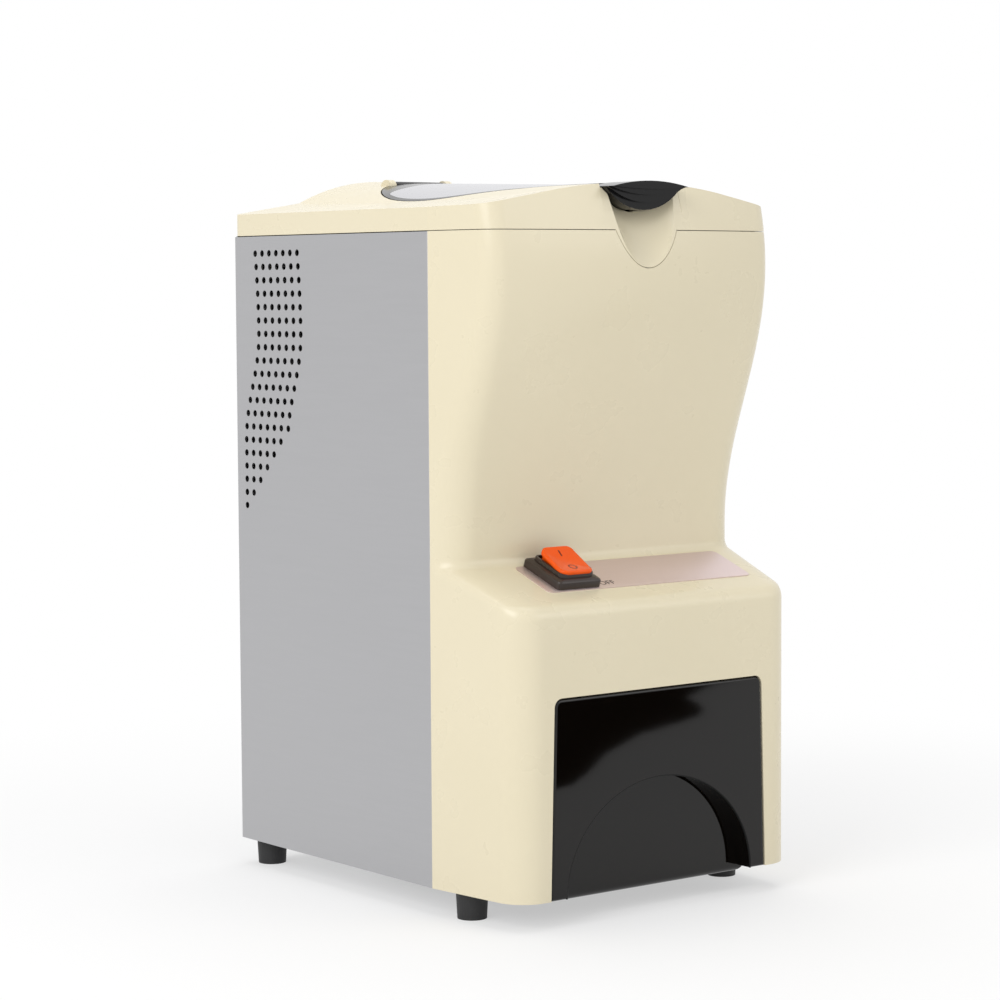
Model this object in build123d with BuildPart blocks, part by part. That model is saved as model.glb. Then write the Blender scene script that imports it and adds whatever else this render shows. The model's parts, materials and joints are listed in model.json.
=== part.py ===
from build123d import *
import math
import os

os.makedirs("parts", exist_ok=True)

# Electric ice crusher. All sizes in millimetres.
# Frame: origin on the table under the middle of the cabinet, +Z up, +X to the right of someone
# who faces the machine, the front towards -Y.

# ---------------------------------------------------------------- cabinet
body_width = 236.0
nose_y = -146.0            # face of the drawer, the foremost plane
seam_y = -69.0             # vertical seam between the steel sides and the moulded front
rear_y = 146.0
foot_height = 17.0
small_sides = 12           # small round fixings and their holes have this many flats
round_sides = 32           # and large round pieces that nothing turns in
panel_height = 400.0
base_z = foot_height       # underside of the cabinet
seam_z = base_z + panel_height
moulding_wall = 3.0
sheet = 1.2

# moulded front: an S-shaped brow over a sloping shelf over an upright drawer front
side_taper = 8.0           # each moulded side closes in this much from the seam to the nose
waist_y = -86.5
waist_z = 230.0
waist_corner = 22.0
waist_bow = 1.0            # how far the middle stands ahead of the corners
brow_y = -123.5
brow_z = 396.0
brow_corner = 15.0
brow_bow = 12.0
brow_sections = 8
foot_corner = 20.0
shelf_y = -110.0           # a point on the shelf, and its slope
shelf_z = 203.0
shelf_slope = 25.5
shelf_round = 14.0
shelf_root = 8.0

# top cover: heights of the crown at the side rim, at a shoulder line and along the middle
rim_rise = 14.0            # side rim above the seam
shoulder_x = 66.0          # beside the lid
crown_reach = body_width / 2 + 12      # the crown's sections run a little past the cabinet's sides
crown_stations = (-150.0, -60.0, 50.0, 110.0, 152.0)
shoulder_rises = (24.5, 20.5, 20.0, 21.0, 22.5)
crown_rises = (28.5, 29.5, 33.5, 35.5, 38.0)
crown_top = seam_z + 60.0  # clear above the whole crown
cover_corner = 6.0

# finger scoop: a slanting cylinder cut into the brow
scoop_radius = 31.0
scoop_length = 65.0        # from its lowest point up the face to its full width
scoop_foot_z = 395.0
scoop_face_y = -135.0
scoop_lip = 1.0            # plain lip between the scoop and its seam
cut_gap = 0.4              # gap round the tongue, the drawer's frame and the like

# lid and the well that it lies in
lid_y = 10.0               # middle of the wide part
lid_half_width = 65.0
lid_tail = 97.0            # from the middle back to the round end
neck_half_width = 30.0
neck_y = -96.0             # where the neck has its own width
lid_gap = 0.9
well_floor_z = seam_z + 11.0
lid_wall = 2.5
insert_inset = 3.5
insert_depth = 1.5
insert_front = -92.0
insert_rear = 70.0
insert_corner = 12.0
hinge_y = 102.5
hinge_z = seam_z + 31.0
hinge_pin_radius = 2.0
barrel_radius = 5.2
barrel_half = 20.0
ear_width = 5.0
pin_fit = 0.05             # running clearance, radial

# lid grip: stacked strakes over the scoop
grip_tip_z = seam_z + 26.0
grip_top_z = seam_z + 29.5
grip_bellies = (12.0, 16.5, 21.0, 24.5)    # lowest point of each strake above the seam
grip_fronts = (-130.5, -133.0, -135.5, -138.0)
grip_back = -112.0
grip_clearance = 0.9

# drawer
drawer_height = 121.0
drawer_top = 166.0
drawer_foot = 172.5
drawer_corner = 5.0
fascia = 11.5
arch_half = 74.5
arch_height = 67.0
bin_half = 78.0
bin_back = 38.0
bin_floor_z = 13.0
bin_top_z = 108.0
bin_wall = 2.5
lip_width = 4.5
lip_height = 3.0
runner_gap = 0.25
runner_sheet = 2.0
drawer_gap = 0.6
frame_depth = 16.0

# ice path
mouth_x = 52.0
mouth_y = 60.0
mouth_centre_y = 6.0
mouth_corner = 24.0
funnel_corner = 9.0
funnel_x = 34.0
funnel_y = 21.0
axis_z = 300.0
chamber_radius = 54.0
chamber_front = -60.0
chamber_back = -12.0
casting_wall = 4.0
boss_radius = 5.0
boss_offset = 43.1         # of the cover screws from the axis, across and up
chute_half = 38.0
chute_foot_z = 112.0
housing_top = 366.0
housing_foot = 238.0

# rotor
shaft_radius = 6.0
hub_radius = 14.0
blade_reach = 50.0
blade_thick = 5.0
blade_pitch = 14.0
blade_rows = 3
blade_turn = 40.0
blade_gap = 0.8            # from the blades' tips to the comb's root
hook = ((-10, 0), (12, 0), (9, 36), (15, 47), (1, 45))     # one tooth, from the axis outwards
comb_height = 20.0
chute_wall = 2.0
chute_rim = 7.0
fan_hub = 12.0
fan_plate = 2.0
fan_blades = 8
comb_thick = 5.0
nut_height = 4.0

# motor
motor_radius = 55.0
motor_bore = 33.0
core_radius = 32.0
stator_front = 18.0
stator_back = 92.0
motor_back = 115.0
bell_plate = 8.0           # front bell's thick face, on which the crusher hangs
bell_rim = 4.0
boss_wall = 6.0
coil_inner = 36.0
coil_outer = 48.0
coil_length = 9.0
bearing_radius = 16.0
bearing_width = 10.0
bearing_fit = 0.05         # running clearance, radial
fan_radius = 47.0
fan_front = 118.0
fan_width = 10.0
shaft_back = 130.0
cradle_plate = 3.0
cradle_ys = (48.0, 80.0)   # behind the drawer's bin
cradle_half = 48.0
cradle_foot = 60.0
cradle_back = 90.0
bolt_radius = 2.5
bolt_head = 4.5
bolt_x = 54.0
bolt_y = 9.0               # from each cheek
shaft_hole = 6.8           # clear of the turning shaft

# switch and label on the shelf, measured along the shelf plane
switch_x = -47.5
switch_u = 1.0             # up the shelf from the shelf point
bezel_width = 33.0
bezel_length = 37.0
bezel_height = 7.5
bezel_round = 2.5
switch_hole_x = 24.0
switch_hole_y = 31.0
skirt_depth = 3.6          # the bezel's collar reaches through the moulding
switch_body_depth = 21.0
terminal = (6.3, 0.8, 8.0)
terminal_step = 8.0
rocker_width = 22.0
rocker_radius = 14.0       # its ends are arcs about the pivot
rocker_gap = 0.4
rocker_travel = 20.0
pivot_height = 2.4
pivot_radius = 1.5
pivot_length = 1.6         # each stub, into the bezel's cheek
rocker_rise = 5.5          # from the pivot up to the V of the rocker's face
rocker_keel = 1.2          # below the pivot
label_left = -72.0
label_right = 92.0
label_length = 37.5
label_thick = 0.6
label_corner = 1.5

# vents in the steel sides
vent_radius = 2.15
vent_pitch_y = 8.15
vent_pitch_z = 8.69
vent_top_z = seam_z - 11.7
vent_rows = 20
vent_columns = 7
vent_edge = 12.5           # from the rear edge to the nearest hole
vent_lean = 16.2           # how far the upper rows stand off the rear edge
vent_peak = 6              # the row that stands off the most
vent_fade = 8.0            # rows below it in which the lean runs out
vent_swell = 20.0          # rows above it in which it would
flange = 12.0              # returns of the steel sides
bend = 2.0

# base, rear wall, feet and fixings
tray = 2.0
slot_gap = 2.0             # round the bin
slot_back = 44.0
arm_front = -127.0

foot_radius = 10.0
foot_x = 102.0
foot_rear_y = 133.0
foot_front_y = -88.0
foot_taper = 3.0
foot_recess_radius = 4.5
foot_recess_depth = 9.0
screw_radius = 1.6
screw_head = 3.2
screw_length = 9.0
slot_width = 0.8
panel_screw_x = 111.0
panel_screw_zs = (58.0, 217.0, 376.0)
gland_x = 72.0
gland_z = 56.0
gland_radius = 8.0
gland_flange = 11.0
gland_proud = 4.7          # behind the rear wall's face
cord_radius = 3.6
nut_thick = 4.0
capacitor_radius = 17.0
capacitor_height = 62.0
capacitor_x = -78.0
capacitor_y = 112.0
magnet_radius = 4.0
magnet_height = 8.0
magnet_y = -76.0
reed_size = (16.0, 6.0, 4.0)
hopper_wall = 2.0
hopper_rim = 5.0

# ---------------------------------------------------------------- shared planes and outlines
shelf_tan = math.tan(math.radians(shelf_slope))
scoop_slant = math.degrees(math.asin(scoop_radius / scoop_length))
shelf_plane = Plane(origin=(0, shelf_y, shelf_z), x_dir=(1, 0, 0),
                    z_dir=(0, -math.sin(math.radians(shelf_slope)), math.cos(math.radians(shelf_slope))))
scoop_plane = Plane(origin=(0, scoop_face_y, scoop_foot_z), x_dir=(1, 0, 0),
                    z_dir=(0, math.sin(math.radians(scoop_slant)), math.cos(math.radians(scoop_slant))))


def facing(y):
    """The upright plane at this y, seen from the front: local x is +X and local y is +Z."""
    return Plane.XZ.offset(-y)


def half_width(y):
    """Half width of the moulded front at this y."""
    return body_width / 2 - side_taper * (seam_y - y) / (seam_y - nose_y)


def nose_outline(front_y, bow, corner):
    """Plan of the moulded front: tapering sides, rounded corners and a bowed face."""
    back = seam_y + 2 * corner
    with BuildSketch() as outline:
        with BuildLine():
            Polyline((half_width(front_y), front_y), (half_width(back), back),
                     (-half_width(back), back), (-half_width(front_y), front_y))
            if bow > 0:
                ThreePointArc((-half_width(front_y), front_y), (0, front_y - bow), (half_width(front_y), front_y))
            else:
                Line((-half_width(front_y), front_y), (half_width(front_y), front_y))
        make_face()
        fillet(outline.vertices().group_by(Axis.Y)[0], corner)
    return outline.sketch


def lining_outline(front_y, bow, corner):
    """Plan of the moulding's inside, in flat runs, a wall's thickness within the outside."""
    back = seam_y + 2 * corner
    front = front_y + moulding_wall
    half = half_width(front_y) - moulding_wall
    back_half = half_width(back) - moulding_wall
    with BuildSketch() as outline:
        with BuildLine():
            Polyline((back_half, back), (half, front), (half / 2, front - 0.75 * bow), (0, front - bow),
                     (-half / 2, front - 0.75 * bow), (-half, front), (-back_half, back), close=True)
        make_face()
        corners = outline.vertices().filter_by(lambda v: abs(v.Y - front) < 0.01 and abs(v.X) > 0.9 * half)
        chamfer(corners, corner / 2)
    return outline.sketch


def brow_form(outline, flat):
    """The brow above the shelf, along a cosine from the waist to the brow, on the given plan."""
    with BuildPart() as brow:
        for i in range(brow_sections):
            z = waist_z + (crown_top - waist_z) * i / (brow_sections - 1)
            ease = (1 - math.cos(math.pi * (z - waist_z) / (brow_z - waist_z))) / 2
            with BuildSketch(Plane.XY.offset(z)):
                add(outline(waist_y + (brow_y - waist_y) * ease, waist_bow + (brow_bow - waist_bow) * ease,
                            waist_corner + (brow_corner - waist_corner) * ease))
        loft(ruled=flat)
        with BuildSketch(Plane.XY.offset(base_z - 1)):
            add(outline(waist_y, waist_bow, waist_corner))
        extrude(amount=waist_z - base_z + 1)
    return brow.part


def shelf_block(outline, drop):
    """The drawer block under the sloping shelf, on the given plan, its top lowered by drop."""
    back_z = shelf_z - drop - shelf_y * shelf_tan
    front_z = back_z + 2 * nose_y * shelf_tan
    with BuildPart() as block:
        with BuildSketch(Plane.XY.offset(base_z - 1)):
            add(outline(nose_y, 0, foot_corner))
        extrude(amount=back_z - base_z + 1)
        with BuildSketch(Plane.YZ):
            Polygon((2 * nose_y, 0), (0, 0), (0, back_z), (2 * nose_y, front_z), align=None)
        extrude(amount=body_width, both=True, mode=Mode.INTERSECT)
    return block.part


def nose_form():
    """The outside of the moulded front: drawer block, sloping shelf and brow."""
    with BuildPart() as nose:
        add(shelf_block(nose_outline, 0))
        shelf = nose.faces().filter_by(lambda face: face.normal_at().Z > 0.5)[0]
        fillet(shelf.edges().sort_by(Axis.Y)[:-1], shelf_round)
        add(brow_form(nose_outline, False))
        shelf = nose.faces().filter_by(lambda face: face.geom_type == GeomType.PLANE
                                       and 0.5 < face.normal_at().Z < 0.99)[0]
        fillet(shelf.edges().filter_by(GeomType.ELLIPSE), shelf_root)
    return nose.part


def lining_form():
    """The inside of the moulded front."""
    with BuildPart() as lining:
        add(shelf_block(lining_outline, moulding_wall / math.cos(math.radians(shelf_slope))))
        shelf = lining.faces().filter_by(lambda face: face.normal_at().Z > 0.5)[0]
        chamfer(shelf.edges().sort_by(Axis.Y)[:-1], shelf_round / 2)
        add(brow_form(lining_outline, True))
    return lining.part


def crown_form(drop):
    """Everything under the crown of the top cover, lowered by drop."""
    with BuildPart() as crown:
        for y, shoulder, top in zip(crown_stations, shoulder_rises, crown_rises):
            rim = seam_z + rim_rise - drop
            brink = seam_z + shoulder - drop
            side = rim - (brink - rim) * (crown_reach - body_width / 2) / (body_width / 2 - shoulder_x)
            with BuildSketch(facing(y)):
                with BuildLine():
                    ThreePointArc((-shoulder_x, brink), (0, seam_z + top - drop), (shoulder_x, brink))
                    Polyline((shoulder_x, brink), (crown_reach, side), (crown_reach, seam_z - 40),
                             (-crown_reach, seam_z - 40), (-crown_reach, side), (-shoulder_x, brink))
                make_face()
        loft(ruled=True)
    return crown.part


def lid_outline(grow):
    """Plan of the lid: a round tail, a wide middle and a neck that runs to the scoop."""
    half = lid_half_width + grow
    neck = neck_half_width + grow
    with BuildSketch() as outline:
        with BuildLine():
            EllipticalCenterArc((0, lid_y), half, lid_tail + grow, start_angle=0, arc_size=180)
            Spline((-half, lid_y), (-neck, neck_y), tangents=((0, -1), (0, -1)))
            Polyline((-neck, neck_y), (-neck, 2 * nose_y), (neck, 2 * nose_y), (neck, neck_y))
            Spline((neck, neck_y), (half, lid_y), tangents=((0, 1), (0, 1)))
        make_face()
    return outline.sketch


def insert_outline(inset):
    """Plan of the bright plate let into the lid."""
    with BuildSketch() as outline:
        add(lid_outline(-insert_inset - inset))
        with Locations((0, (insert_front + insert_rear) / 2)):
            Rectangle(body_width, insert_rear - insert_front - 2 * inset, mode=Mode.INTERSECT)
        fillet(outline.vertices().group_by(Axis.Y)[0] + outline.vertices().group_by(Axis.Y)[-1], insert_corner)
    return outline.sketch


def drawer_outline(grow):
    """Face of the drawer seen from the front: a little wider at its foot."""
    with BuildSketch() as outline:
        with BuildLine():
            Polyline((-drawer_foot / 2 - grow, base_z - grow), (drawer_foot / 2 + grow, base_z - grow),
                     (drawer_top / 2 + grow, base_z + drawer_height + grow),
                     (-drawer_top / 2 - grow, base_z + drawer_height + grow), close=True)
        make_face()
        fillet(outline.vertices().group_by(Axis.Y)[-1], drawer_corner + grow)
    return outline.sketch


def scoop_rod(radius):
    """The slanting cylinder of the finger scoop; its lowest line passes the scoop's foot."""
    with BuildPart() as rod:
        with BuildSketch(scoop_plane):
            with Locations((0, -scoop_radius)):
                Circle(radius)
        extrude(amount=scoop_length, both=True)
    return rod.part


def scoop_window(grow):
    """Outline of the scoop on the face of the brow, cut straight back."""
    with BuildPart() as window:
        with BuildSketch(facing(2 * nose_y)):
            with Locations((0, scoop_foot_z + scoop_length)):
                Ellipse(scoop_radius + grow, scoop_length + grow)
        extrude(amount=2 * nose_y)
    return window.part


def cover_plan(inset):
    """Plan of the top cover as an upright block: the brow in front, square behind."""
    with BuildPart() as plan:
        add(brow_form(lining_outline if inset > 0 else nose_outline, inset > 0))
        split(bisect_by=facing(seam_y), keep=Keep.TOP)
        with BuildSketch(Plane.XY.offset(base_z)):
            with Locations((0, (seam_y + rear_y) / 2)):
                Rectangle(body_width - 2 * inset, rear_y - seam_y)
            with Locations((0, rear_y)):
                Rectangle(body_width, 2 * inset + 0.001, mode=Mode.SUBTRACT)
        extrude(amount=crown_top - base_z)
        fillet(plan.edges().filter_by(Axis.Z).group_by(Axis.Y)[-1], cover_corner)
    return plan.part


def funnel_plan(half_x, half_y, corner):
    """Plan of the hopper at one height: a rectangle with its corners cut off."""
    with BuildSketch() as plan:
        Rectangle(2 * half_x, 2 * half_y)
        chamfer(plan.vertices(), corner)
    return plan.sketch


def prism(sketch, low, high):
    """An upright block on the given plan."""
    with BuildPart() as block:
        with BuildSketch(Plane.XY.offset(low)):
            add(sketch)
        extrude(amount=high - low)
    return block.part


def write(part, name):
    """Label a finished piece and write its file."""
    part.label = name
    export_step(part, f"parts/{name}.step")


# ================================================================ moulded front
with BuildPart() as front_panel:
    add(nose_form())
    add(lining_form(), mode=Mode.SUBTRACT)
    with BuildSketch(facing(nose_y)):
        add(drawer_outline(drawer_gap + moulding_wall))
    extrude(amount=-frame_depth)
    with BuildSketch(facing(nose_y - 1)):
        add(drawer_outline(drawer_gap))
    extrude(amount=-frame_depth - 2, mode=Mode.SUBTRACT)
    with BuildSketch(shelf_plane):
        with Locations((switch_x, switch_u)):
            Rectangle(switch_hole_x, switch_hole_y)
    extrude(amount=2 * moulding_wall, both=True, mode=Mode.SUBTRACT)
    add(scoop_window(scoop_lip + cut_gap), mode=Mode.SUBTRACT)
    split(bisect_by=facing(seam_y), keep=Keep.TOP)
    split(bisect_by=Plane.XY.offset(seam_z), keep=Keep.BOTTOM)
    split(bisect_by=Plane.XY.offset(base_z), keep=Keep.TOP)
write(front_panel.part, "front_panel")

# ================================================================ top cover
well_under = well_floor_z - moulding_wall
ear_inner = barrel_half + cut_gap + 0.4
ear_outer = ear_inner + ear_width

with BuildPart() as cover_hollow:
    add(cover_plan(moulding_wall))
    add(crown_form(moulding_wall), mode=Mode.INTERSECT)

with BuildPart() as top_cover:
    add(cover_plan(0))
    add(crown_form(0), mode=Mode.INTERSECT)
    split(bisect_by=Plane.XY.offset(seam_z), keep=Keep.TOP)
    cover_outer = top_cover.part
    add(cover_hollow.part, mode=Mode.SUBTRACT)

# the well and the hinge block fill up to the crown
with BuildPart() as well_block:
    add(prism(lid_outline(lid_gap + moulding_wall), well_under, crown_top))
    with BuildSketch(Plane.XY.offset(well_under)):
        with Locations((0, hinge_y)):
            Rectangle(2 * ear_outer, 4 * barrel_radius)
    extrude(amount=crown_top - well_under)
    add(cover_outer, mode=Mode.INTERSECT)

with BuildPart() as tongue:
    add(scoop_rod(scoop_radius + moulding_wall))
    add(cover_plan(0), mode=Mode.INTERSECT)
    add(crown_form(0), mode=Mode.INTERSECT)
    add(scoop_window(scoop_lip), mode=Mode.INTERSECT)

with BuildPart() as top_cover:
    add(cover_outer)
    add(cover_hollow.part, mode=Mode.SUBTRACT)
    add(well_block.part)
    add(tongue.part)
    add(prism(lid_outline(lid_gap), well_floor_z, crown_top), mode=Mode.SUBTRACT)
    with BuildSketch(Plane.XY.offset(well_under - 1)):
        with Locations((0, mouth_centre_y)):
            add(funnel_plan(mouth_x, mouth_y, mouth_corner))
    extrude(amount=2 * moulding_wall, mode=Mode.SUBTRACT)
    for side in (-1, 1):
        with BuildSketch(Plane.YZ.offset(side * (ear_inner + ear_width / 2))):
            with Locations((hinge_y, (well_under + hinge_z) / 2)):
                Rectangle(2.4 * barrel_radius, hinge_z - well_under)
            with Locations((hinge_y, hinge_z)):
                Circle(1.2 * barrel_radius)
        extrude(amount=ear_width / 2, both=True)
    with BuildSketch(Plane.XY.offset(well_floor_z)):
        with Locations((0, hinge_y)):
            Rectangle(2 * ear_inner, 2 * (barrel_radius + lid_gap))
    extrude(amount=crown_top, mode=Mode.SUBTRACT)
    with BuildSketch(Plane.YZ):
        with Locations((hinge_y, hinge_z)):
            Circle(hinge_pin_radius)
    extrude(amount=ear_outer, both=True, mode=Mode.SUBTRACT)
    add(scoop_rod(scoop_radius), mode=Mode.SUBTRACT)
write(top_cover.part, "top_cover")

with BuildPart() as hinge_pin:
    with BuildSketch(Plane.YZ):
        with Locations((hinge_y, hinge_z)):
            Circle(hinge_pin_radius)
    extrude(amount=ear_outer, both=True)
write(hinge_pin.part, "hinge_pin")

# ================================================================ lid
with BuildPart() as grip_room:
    add(scoop_rod(scoop_radius - grip_clearance))
    with BuildSketch(Plane.XY.offset(well_floor_z + cut_gap)):
        Rectangle(2 * neck_half_width, -4 * nose_y)
    extrude(amount=crown_top)

with BuildPart() as grip:
    for belly, face_y in zip(grip_bellies, grip_fronts):
        with BuildSketch(facing(face_y)):
            with BuildLine():
                ThreePointArc((-neck_half_width, grip_tip_z), (0, grip_top_z), (neck_half_width, grip_tip_z))
                ThreePointArc((neck_half_width, grip_tip_z), (0, seam_z + belly), (-neck_half_width, grip_tip_z))
            make_face()
        extrude(amount=face_y - grip_back)
    add(grip_room.part, mode=Mode.INTERSECT)

with BuildPart() as insert_pocket:
    add(prism(insert_outline(0), well_floor_z, crown_top))
    add(crown_form(insert_depth), mode=Mode.SUBTRACT)

with BuildPart() as lid_hollow:
    add(prism(lid_outline(-lid_wall), well_floor_z - 1, crown_top))
    add(crown_form(insert_depth + lid_wall), mode=Mode.INTERSECT)
    split(bisect_by=facing(neck_y), keep=Keep.BOTTOM)
    split(bisect_by=facing(hinge_y - 2 * barrel_radius), keep=Keep.TOP)

with BuildPart() as lid_shell:
    add(prism(lid_outline(0), well_floor_z, crown_top))
    add(crown_form(0), mode=Mode.INTERSECT)
    split(bisect_by=facing(grip_back), keep=Keep.BOTTOM)
    split(bisect_by=facing(hinge_y), keep=Keep.TOP)
    add(lid_hollow.part, mode=Mode.SUBTRACT)
    for side in (-1, 1):
        with BuildSketch(Plane.XY.offset(well_floor_z - 1)):
            with Locations((side * (ear_inner + ear_outer) / 2, hinge_y)):
                Rectangle(ear_width + 2 * lid_gap, 2 * (1.2 * barrel_radius + lid_gap))
        extrude(amount=crown_top, mode=Mode.SUBTRACT)
    add(grip.part)
    with BuildSketch(Plane.YZ):
        with Locations((hinge_y, hinge_z)):
            Circle(barrel_radius)
    extrude(amount=barrel_half, both=True)
    with BuildSketch(Plane.YZ):
        with Locations((hinge_y, hinge_z)):
            Circle(hinge_pin_radius + pin_fit)
    extrude(amount=ear_outer, both=True, mode=Mode.SUBTRACT)
    with BuildSketch(Plane.XY.offset(well_floor_z + 1)):
        with Locations((0, magnet_y)):
            RegularPolygon(magnet_radius + lid_wall, small_sides)
    extrude(amount=hinge_z - well_floor_z - insert_depth - lid_wall)
    with BuildSketch(Plane.XY.offset(well_floor_z)):
        with Locations((0, magnet_y)):
            RegularPolygon(magnet_radius, small_sides)
    extrude(amount=magnet_height + 1, mode=Mode.SUBTRACT)
    add(insert_pocket.part, mode=Mode.SUBTRACT)
write(lid_shell.part, "lid_shell")

with BuildPart() as lid_magnet:
    with BuildSketch(Plane.XY.offset(well_floor_z + 1)):
        with Locations((0, magnet_y)):
            RegularPolygon(magnet_radius, small_sides)
    extrude(amount=magnet_height)
write(lid_magnet.part, "lid_magnet")

with BuildPart() as lid_insert:
    add(prism(insert_outline(0.1), well_floor_z, crown_top))
    add(crown_form(0), mode=Mode.INTERSECT)
    add(crown_form(insert_depth), mode=Mode.SUBTRACT)
write(lid_insert.part, "lid_insert")

# ================================================================ drawer
bin_front = nose_y + fascia
lip_z = bin_top_z - lip_height

with BuildPart() as drawer_fascia:
    with BuildSketch(facing(nose_y)):
        add(drawer_outline(0))
    extrude(amount=-fascia)
    fillet(drawer_fascia.faces().sort_by(Axis.Y)[0].edges(), 1.8)
    with BuildSketch(facing(nose_y)):
        with Locations((0, base_z)):
            Ellipse(arch_half, arch_height)
    extrude(amount=-fascia, mode=Mode.SUBTRACT)
write(drawer_fascia.part, "drawer_fascia")

with BuildPart() as drawer_bin:
    with BuildSketch(Plane.XY.offset(bin_floor_z)):
        with Locations((0, (bin_front + bin_back) / 2)):
            Rectangle(2 * bin_half, bin_back - bin_front)
    extrude(amount=bin_top_z - bin_floor_z)
    fillet(drawer_bin.edges().group_by(Axis.Z)[0], drawer_corner)
    with BuildSketch(Plane.XY.offset(lip_z)):
        with Locations((0, (bin_front + bin_back) / 2)):
            Rectangle(2 * (bin_half + lip_width), bin_back - bin_front)
    extrude(amount=lip_height)
    with BuildSketch(Plane.XY.offset(bin_floor_z + bin_wall)):
        with Locations((0, (bin_front + bin_back) / 2)):
            RectangleRounded(2 * (bin_half - bin_wall), bin_back - bin_front - 2 * bin_wall, drawer_corner)
    extrude(amount=bin_top_z - bin_floor_z, mode=Mode.SUBTRACT)
write(drawer_bin.part, "drawer_bin")

# ================================================================ base and runners
feet = (("foot_front_left", -foot_x, foot_front_y), ("foot_front_right", foot_x, foot_front_y),
        ("foot_rear_left", -foot_x, foot_rear_y), ("foot_rear_right", foot_x, foot_rear_y))
bolt_points = [(side * bolt_x, y) for side in (-1, 1) for y in (cradle_ys[0] + bolt_y, cradle_ys[1] - bolt_y)]
with BuildPart() as base_frame:
    with BuildSketch(Plane.XY.offset(base_z)):
        with Locations((0, (seam_y + rear_y - 2 * sheet) / 2)):
            Rectangle(body_width - 2 * sheet, rear_y - 2 * sheet - seam_y)
    extrude(amount=tray)
    with BuildSketch(Plane.XY.offset(base_z)):
        add(lining_outline(nose_y, 0, foot_corner))
        offset(amount=-cut_gap, kind=Kind.INTERSECTION)
        with Locations((0, (arm_front + seam_y) / 2)):
            Rectangle(body_width, seam_y - arm_front, mode=Mode.INTERSECT)
    extrude(amount=tray)
    with BuildSketch(Plane.XY.offset(base_z)):
        with Locations((0, (2 * nose_y + slot_back) / 2)):
            Rectangle(2 * (bin_half + slot_gap), slot_back - 2 * nose_y)
    extrude(amount=tray, mode=Mode.SUBTRACT)
    with BuildSketch(Plane.XY.offset(base_z)):
        with Locations([(x, y) for name, x, y in feet]):
            RegularPolygon(screw_radius, small_sides)
        with Locations(bolt_points):
            RegularPolygon(bolt_radius, small_sides)
    extrude(amount=tray, mode=Mode.SUBTRACT)
write(base_frame.part, "base_frame")

ledge_top = lip_z - runner_gap
for side, name in ((-1, "left_runner"), (1, "right_runner")):
    inner = side * (bin_half + drawer_gap)
    upright = side * (bin_half + lip_width + 2 * drawer_gap)
    with BuildPart() as runner:
        with BuildSketch(facing(arm_front)):
            with BuildLine():
                Polyline((inner, ledge_top), (upright, ledge_top), (upright, bin_top_z),
                         (upright + side * runner_sheet, bin_top_z),
                         (upright + side * runner_sheet, base_z + tray + runner_sheet),
                         (upright + side * flange, base_z + tray + runner_sheet),
                         (upright + side * flange, base_z + tray), (upright, base_z + tray),
                         (upright, ledge_top - runner_sheet), (inner, ledge_top - runner_sheet), close=True)
            make_face()
        extrude(amount=arm_front - slot_back)
    write(runner.part, name)

# ================================================================ steel sides and rear wall
def vent_points():
    """Centres of the vent holes: even rows, the lowest ones shortened from the front."""
    points = []
    for row in range(vent_rows):
        fade = vent_fade if row > vent_peak else vent_swell
        edge = vent_edge + vent_lean * math.cos(math.pi / 2 * min(abs(row - vent_peak) / fade, 1)) ** 2
        count = min(vent_columns, vent_rows - row)
        for column in range(count):
            points.append((rear_y - edge - column * vent_pitch_y, vent_top_z - row * vent_pitch_z))
    return points


def panel_screws_form(head, shank, depth):
    """The row of countersunk screws up each rear corner."""
    with BuildPart() as screws:
        with BuildSketch(facing(rear_y)):
            with Locations([(side * panel_screw_x, z) for side in (-1, 1) for z in panel_screw_zs]):
                RegularPolygon(head, small_sides)
        extrude(amount=head - shank, taper=45)
        with BuildSketch(facing(rear_y)):
            with Locations([(side * panel_screw_x, z) for side in (-1, 1) for z in panel_screw_zs]):
                RegularPolygon(shank, small_sides)
        extrude(amount=depth)
    return screws.part


with BuildPart() as panel_fixings:
    add(panel_screws_form(screw_head, screw_radius, screw_length))

for side, name in ((-1, "left_side_panel"), (1, "right_side_panel")):
    with BuildPart() as panel:
        with BuildSketch(Plane.XY.offset(base_z)):
            with Locations((side * (body_width - sheet) / 2, (seam_y + rear_y) / 2)):
                Rectangle(sheet, rear_y - seam_y)
            with Locations((side * (body_width - flange) / 2, rear_y - sheet / 2)):
                Rectangle(flange, sheet)
        extrude(amount=panel_height)
        with BuildSketch(Plane.XY.offset(base_z + tray)):
            with Locations((side * (body_width - flange) / 2, seam_y + sheet / 2)):
                Rectangle(flange, sheet)
        extrude(amount=panel_height - tray)
        corner = panel.edges().filter_by(Axis.Z).group_by(Axis.Y)[-1].sort_by(Axis.X)[-1 if side > 0 else 0]
        fillet(corner, bend)
        with BuildSketch(Plane.YZ.offset(side * body_width / 2)):
            with Locations(vent_points()):
                RegularPolygon(vent_radius, 4)
        extrude(amount=-side * sheet, mode=Mode.SUBTRACT)
        add(panel_fixings.part, mode=Mode.SUBTRACT)
    write(panel.part, name)

with BuildPart() as rear_panel:
    with BuildSketch(facing(rear_y - sheet)):
        with Locations((0, base_z + panel_height / 2)):
            Rectangle(body_width - 2 * sheet, panel_height)
        with Locations((gland_x, gland_z)):
            RegularPolygon(gland_radius, round_sides, mode=Mode.SUBTRACT)
    extrude(amount=sheet)
    add(panel_fixings.part, mode=Mode.SUBTRACT)
write(rear_panel.part, "rear_panel")

with BuildPart() as panel_screws:
    add(panel_fixings.part)
    with BuildSketch(facing(rear_y)):
        with Locations([(side * panel_screw_x, z) for side in (-1, 1) for z in panel_screw_zs]):
            Rectangle(1.5 * screw_head, slot_width)
            Rectangle(slot_width, 1.5 * screw_head)
    extrude(amount=slot_width, mode=Mode.SUBTRACT)
write(panel_screws.part, "panel_screws")

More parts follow.
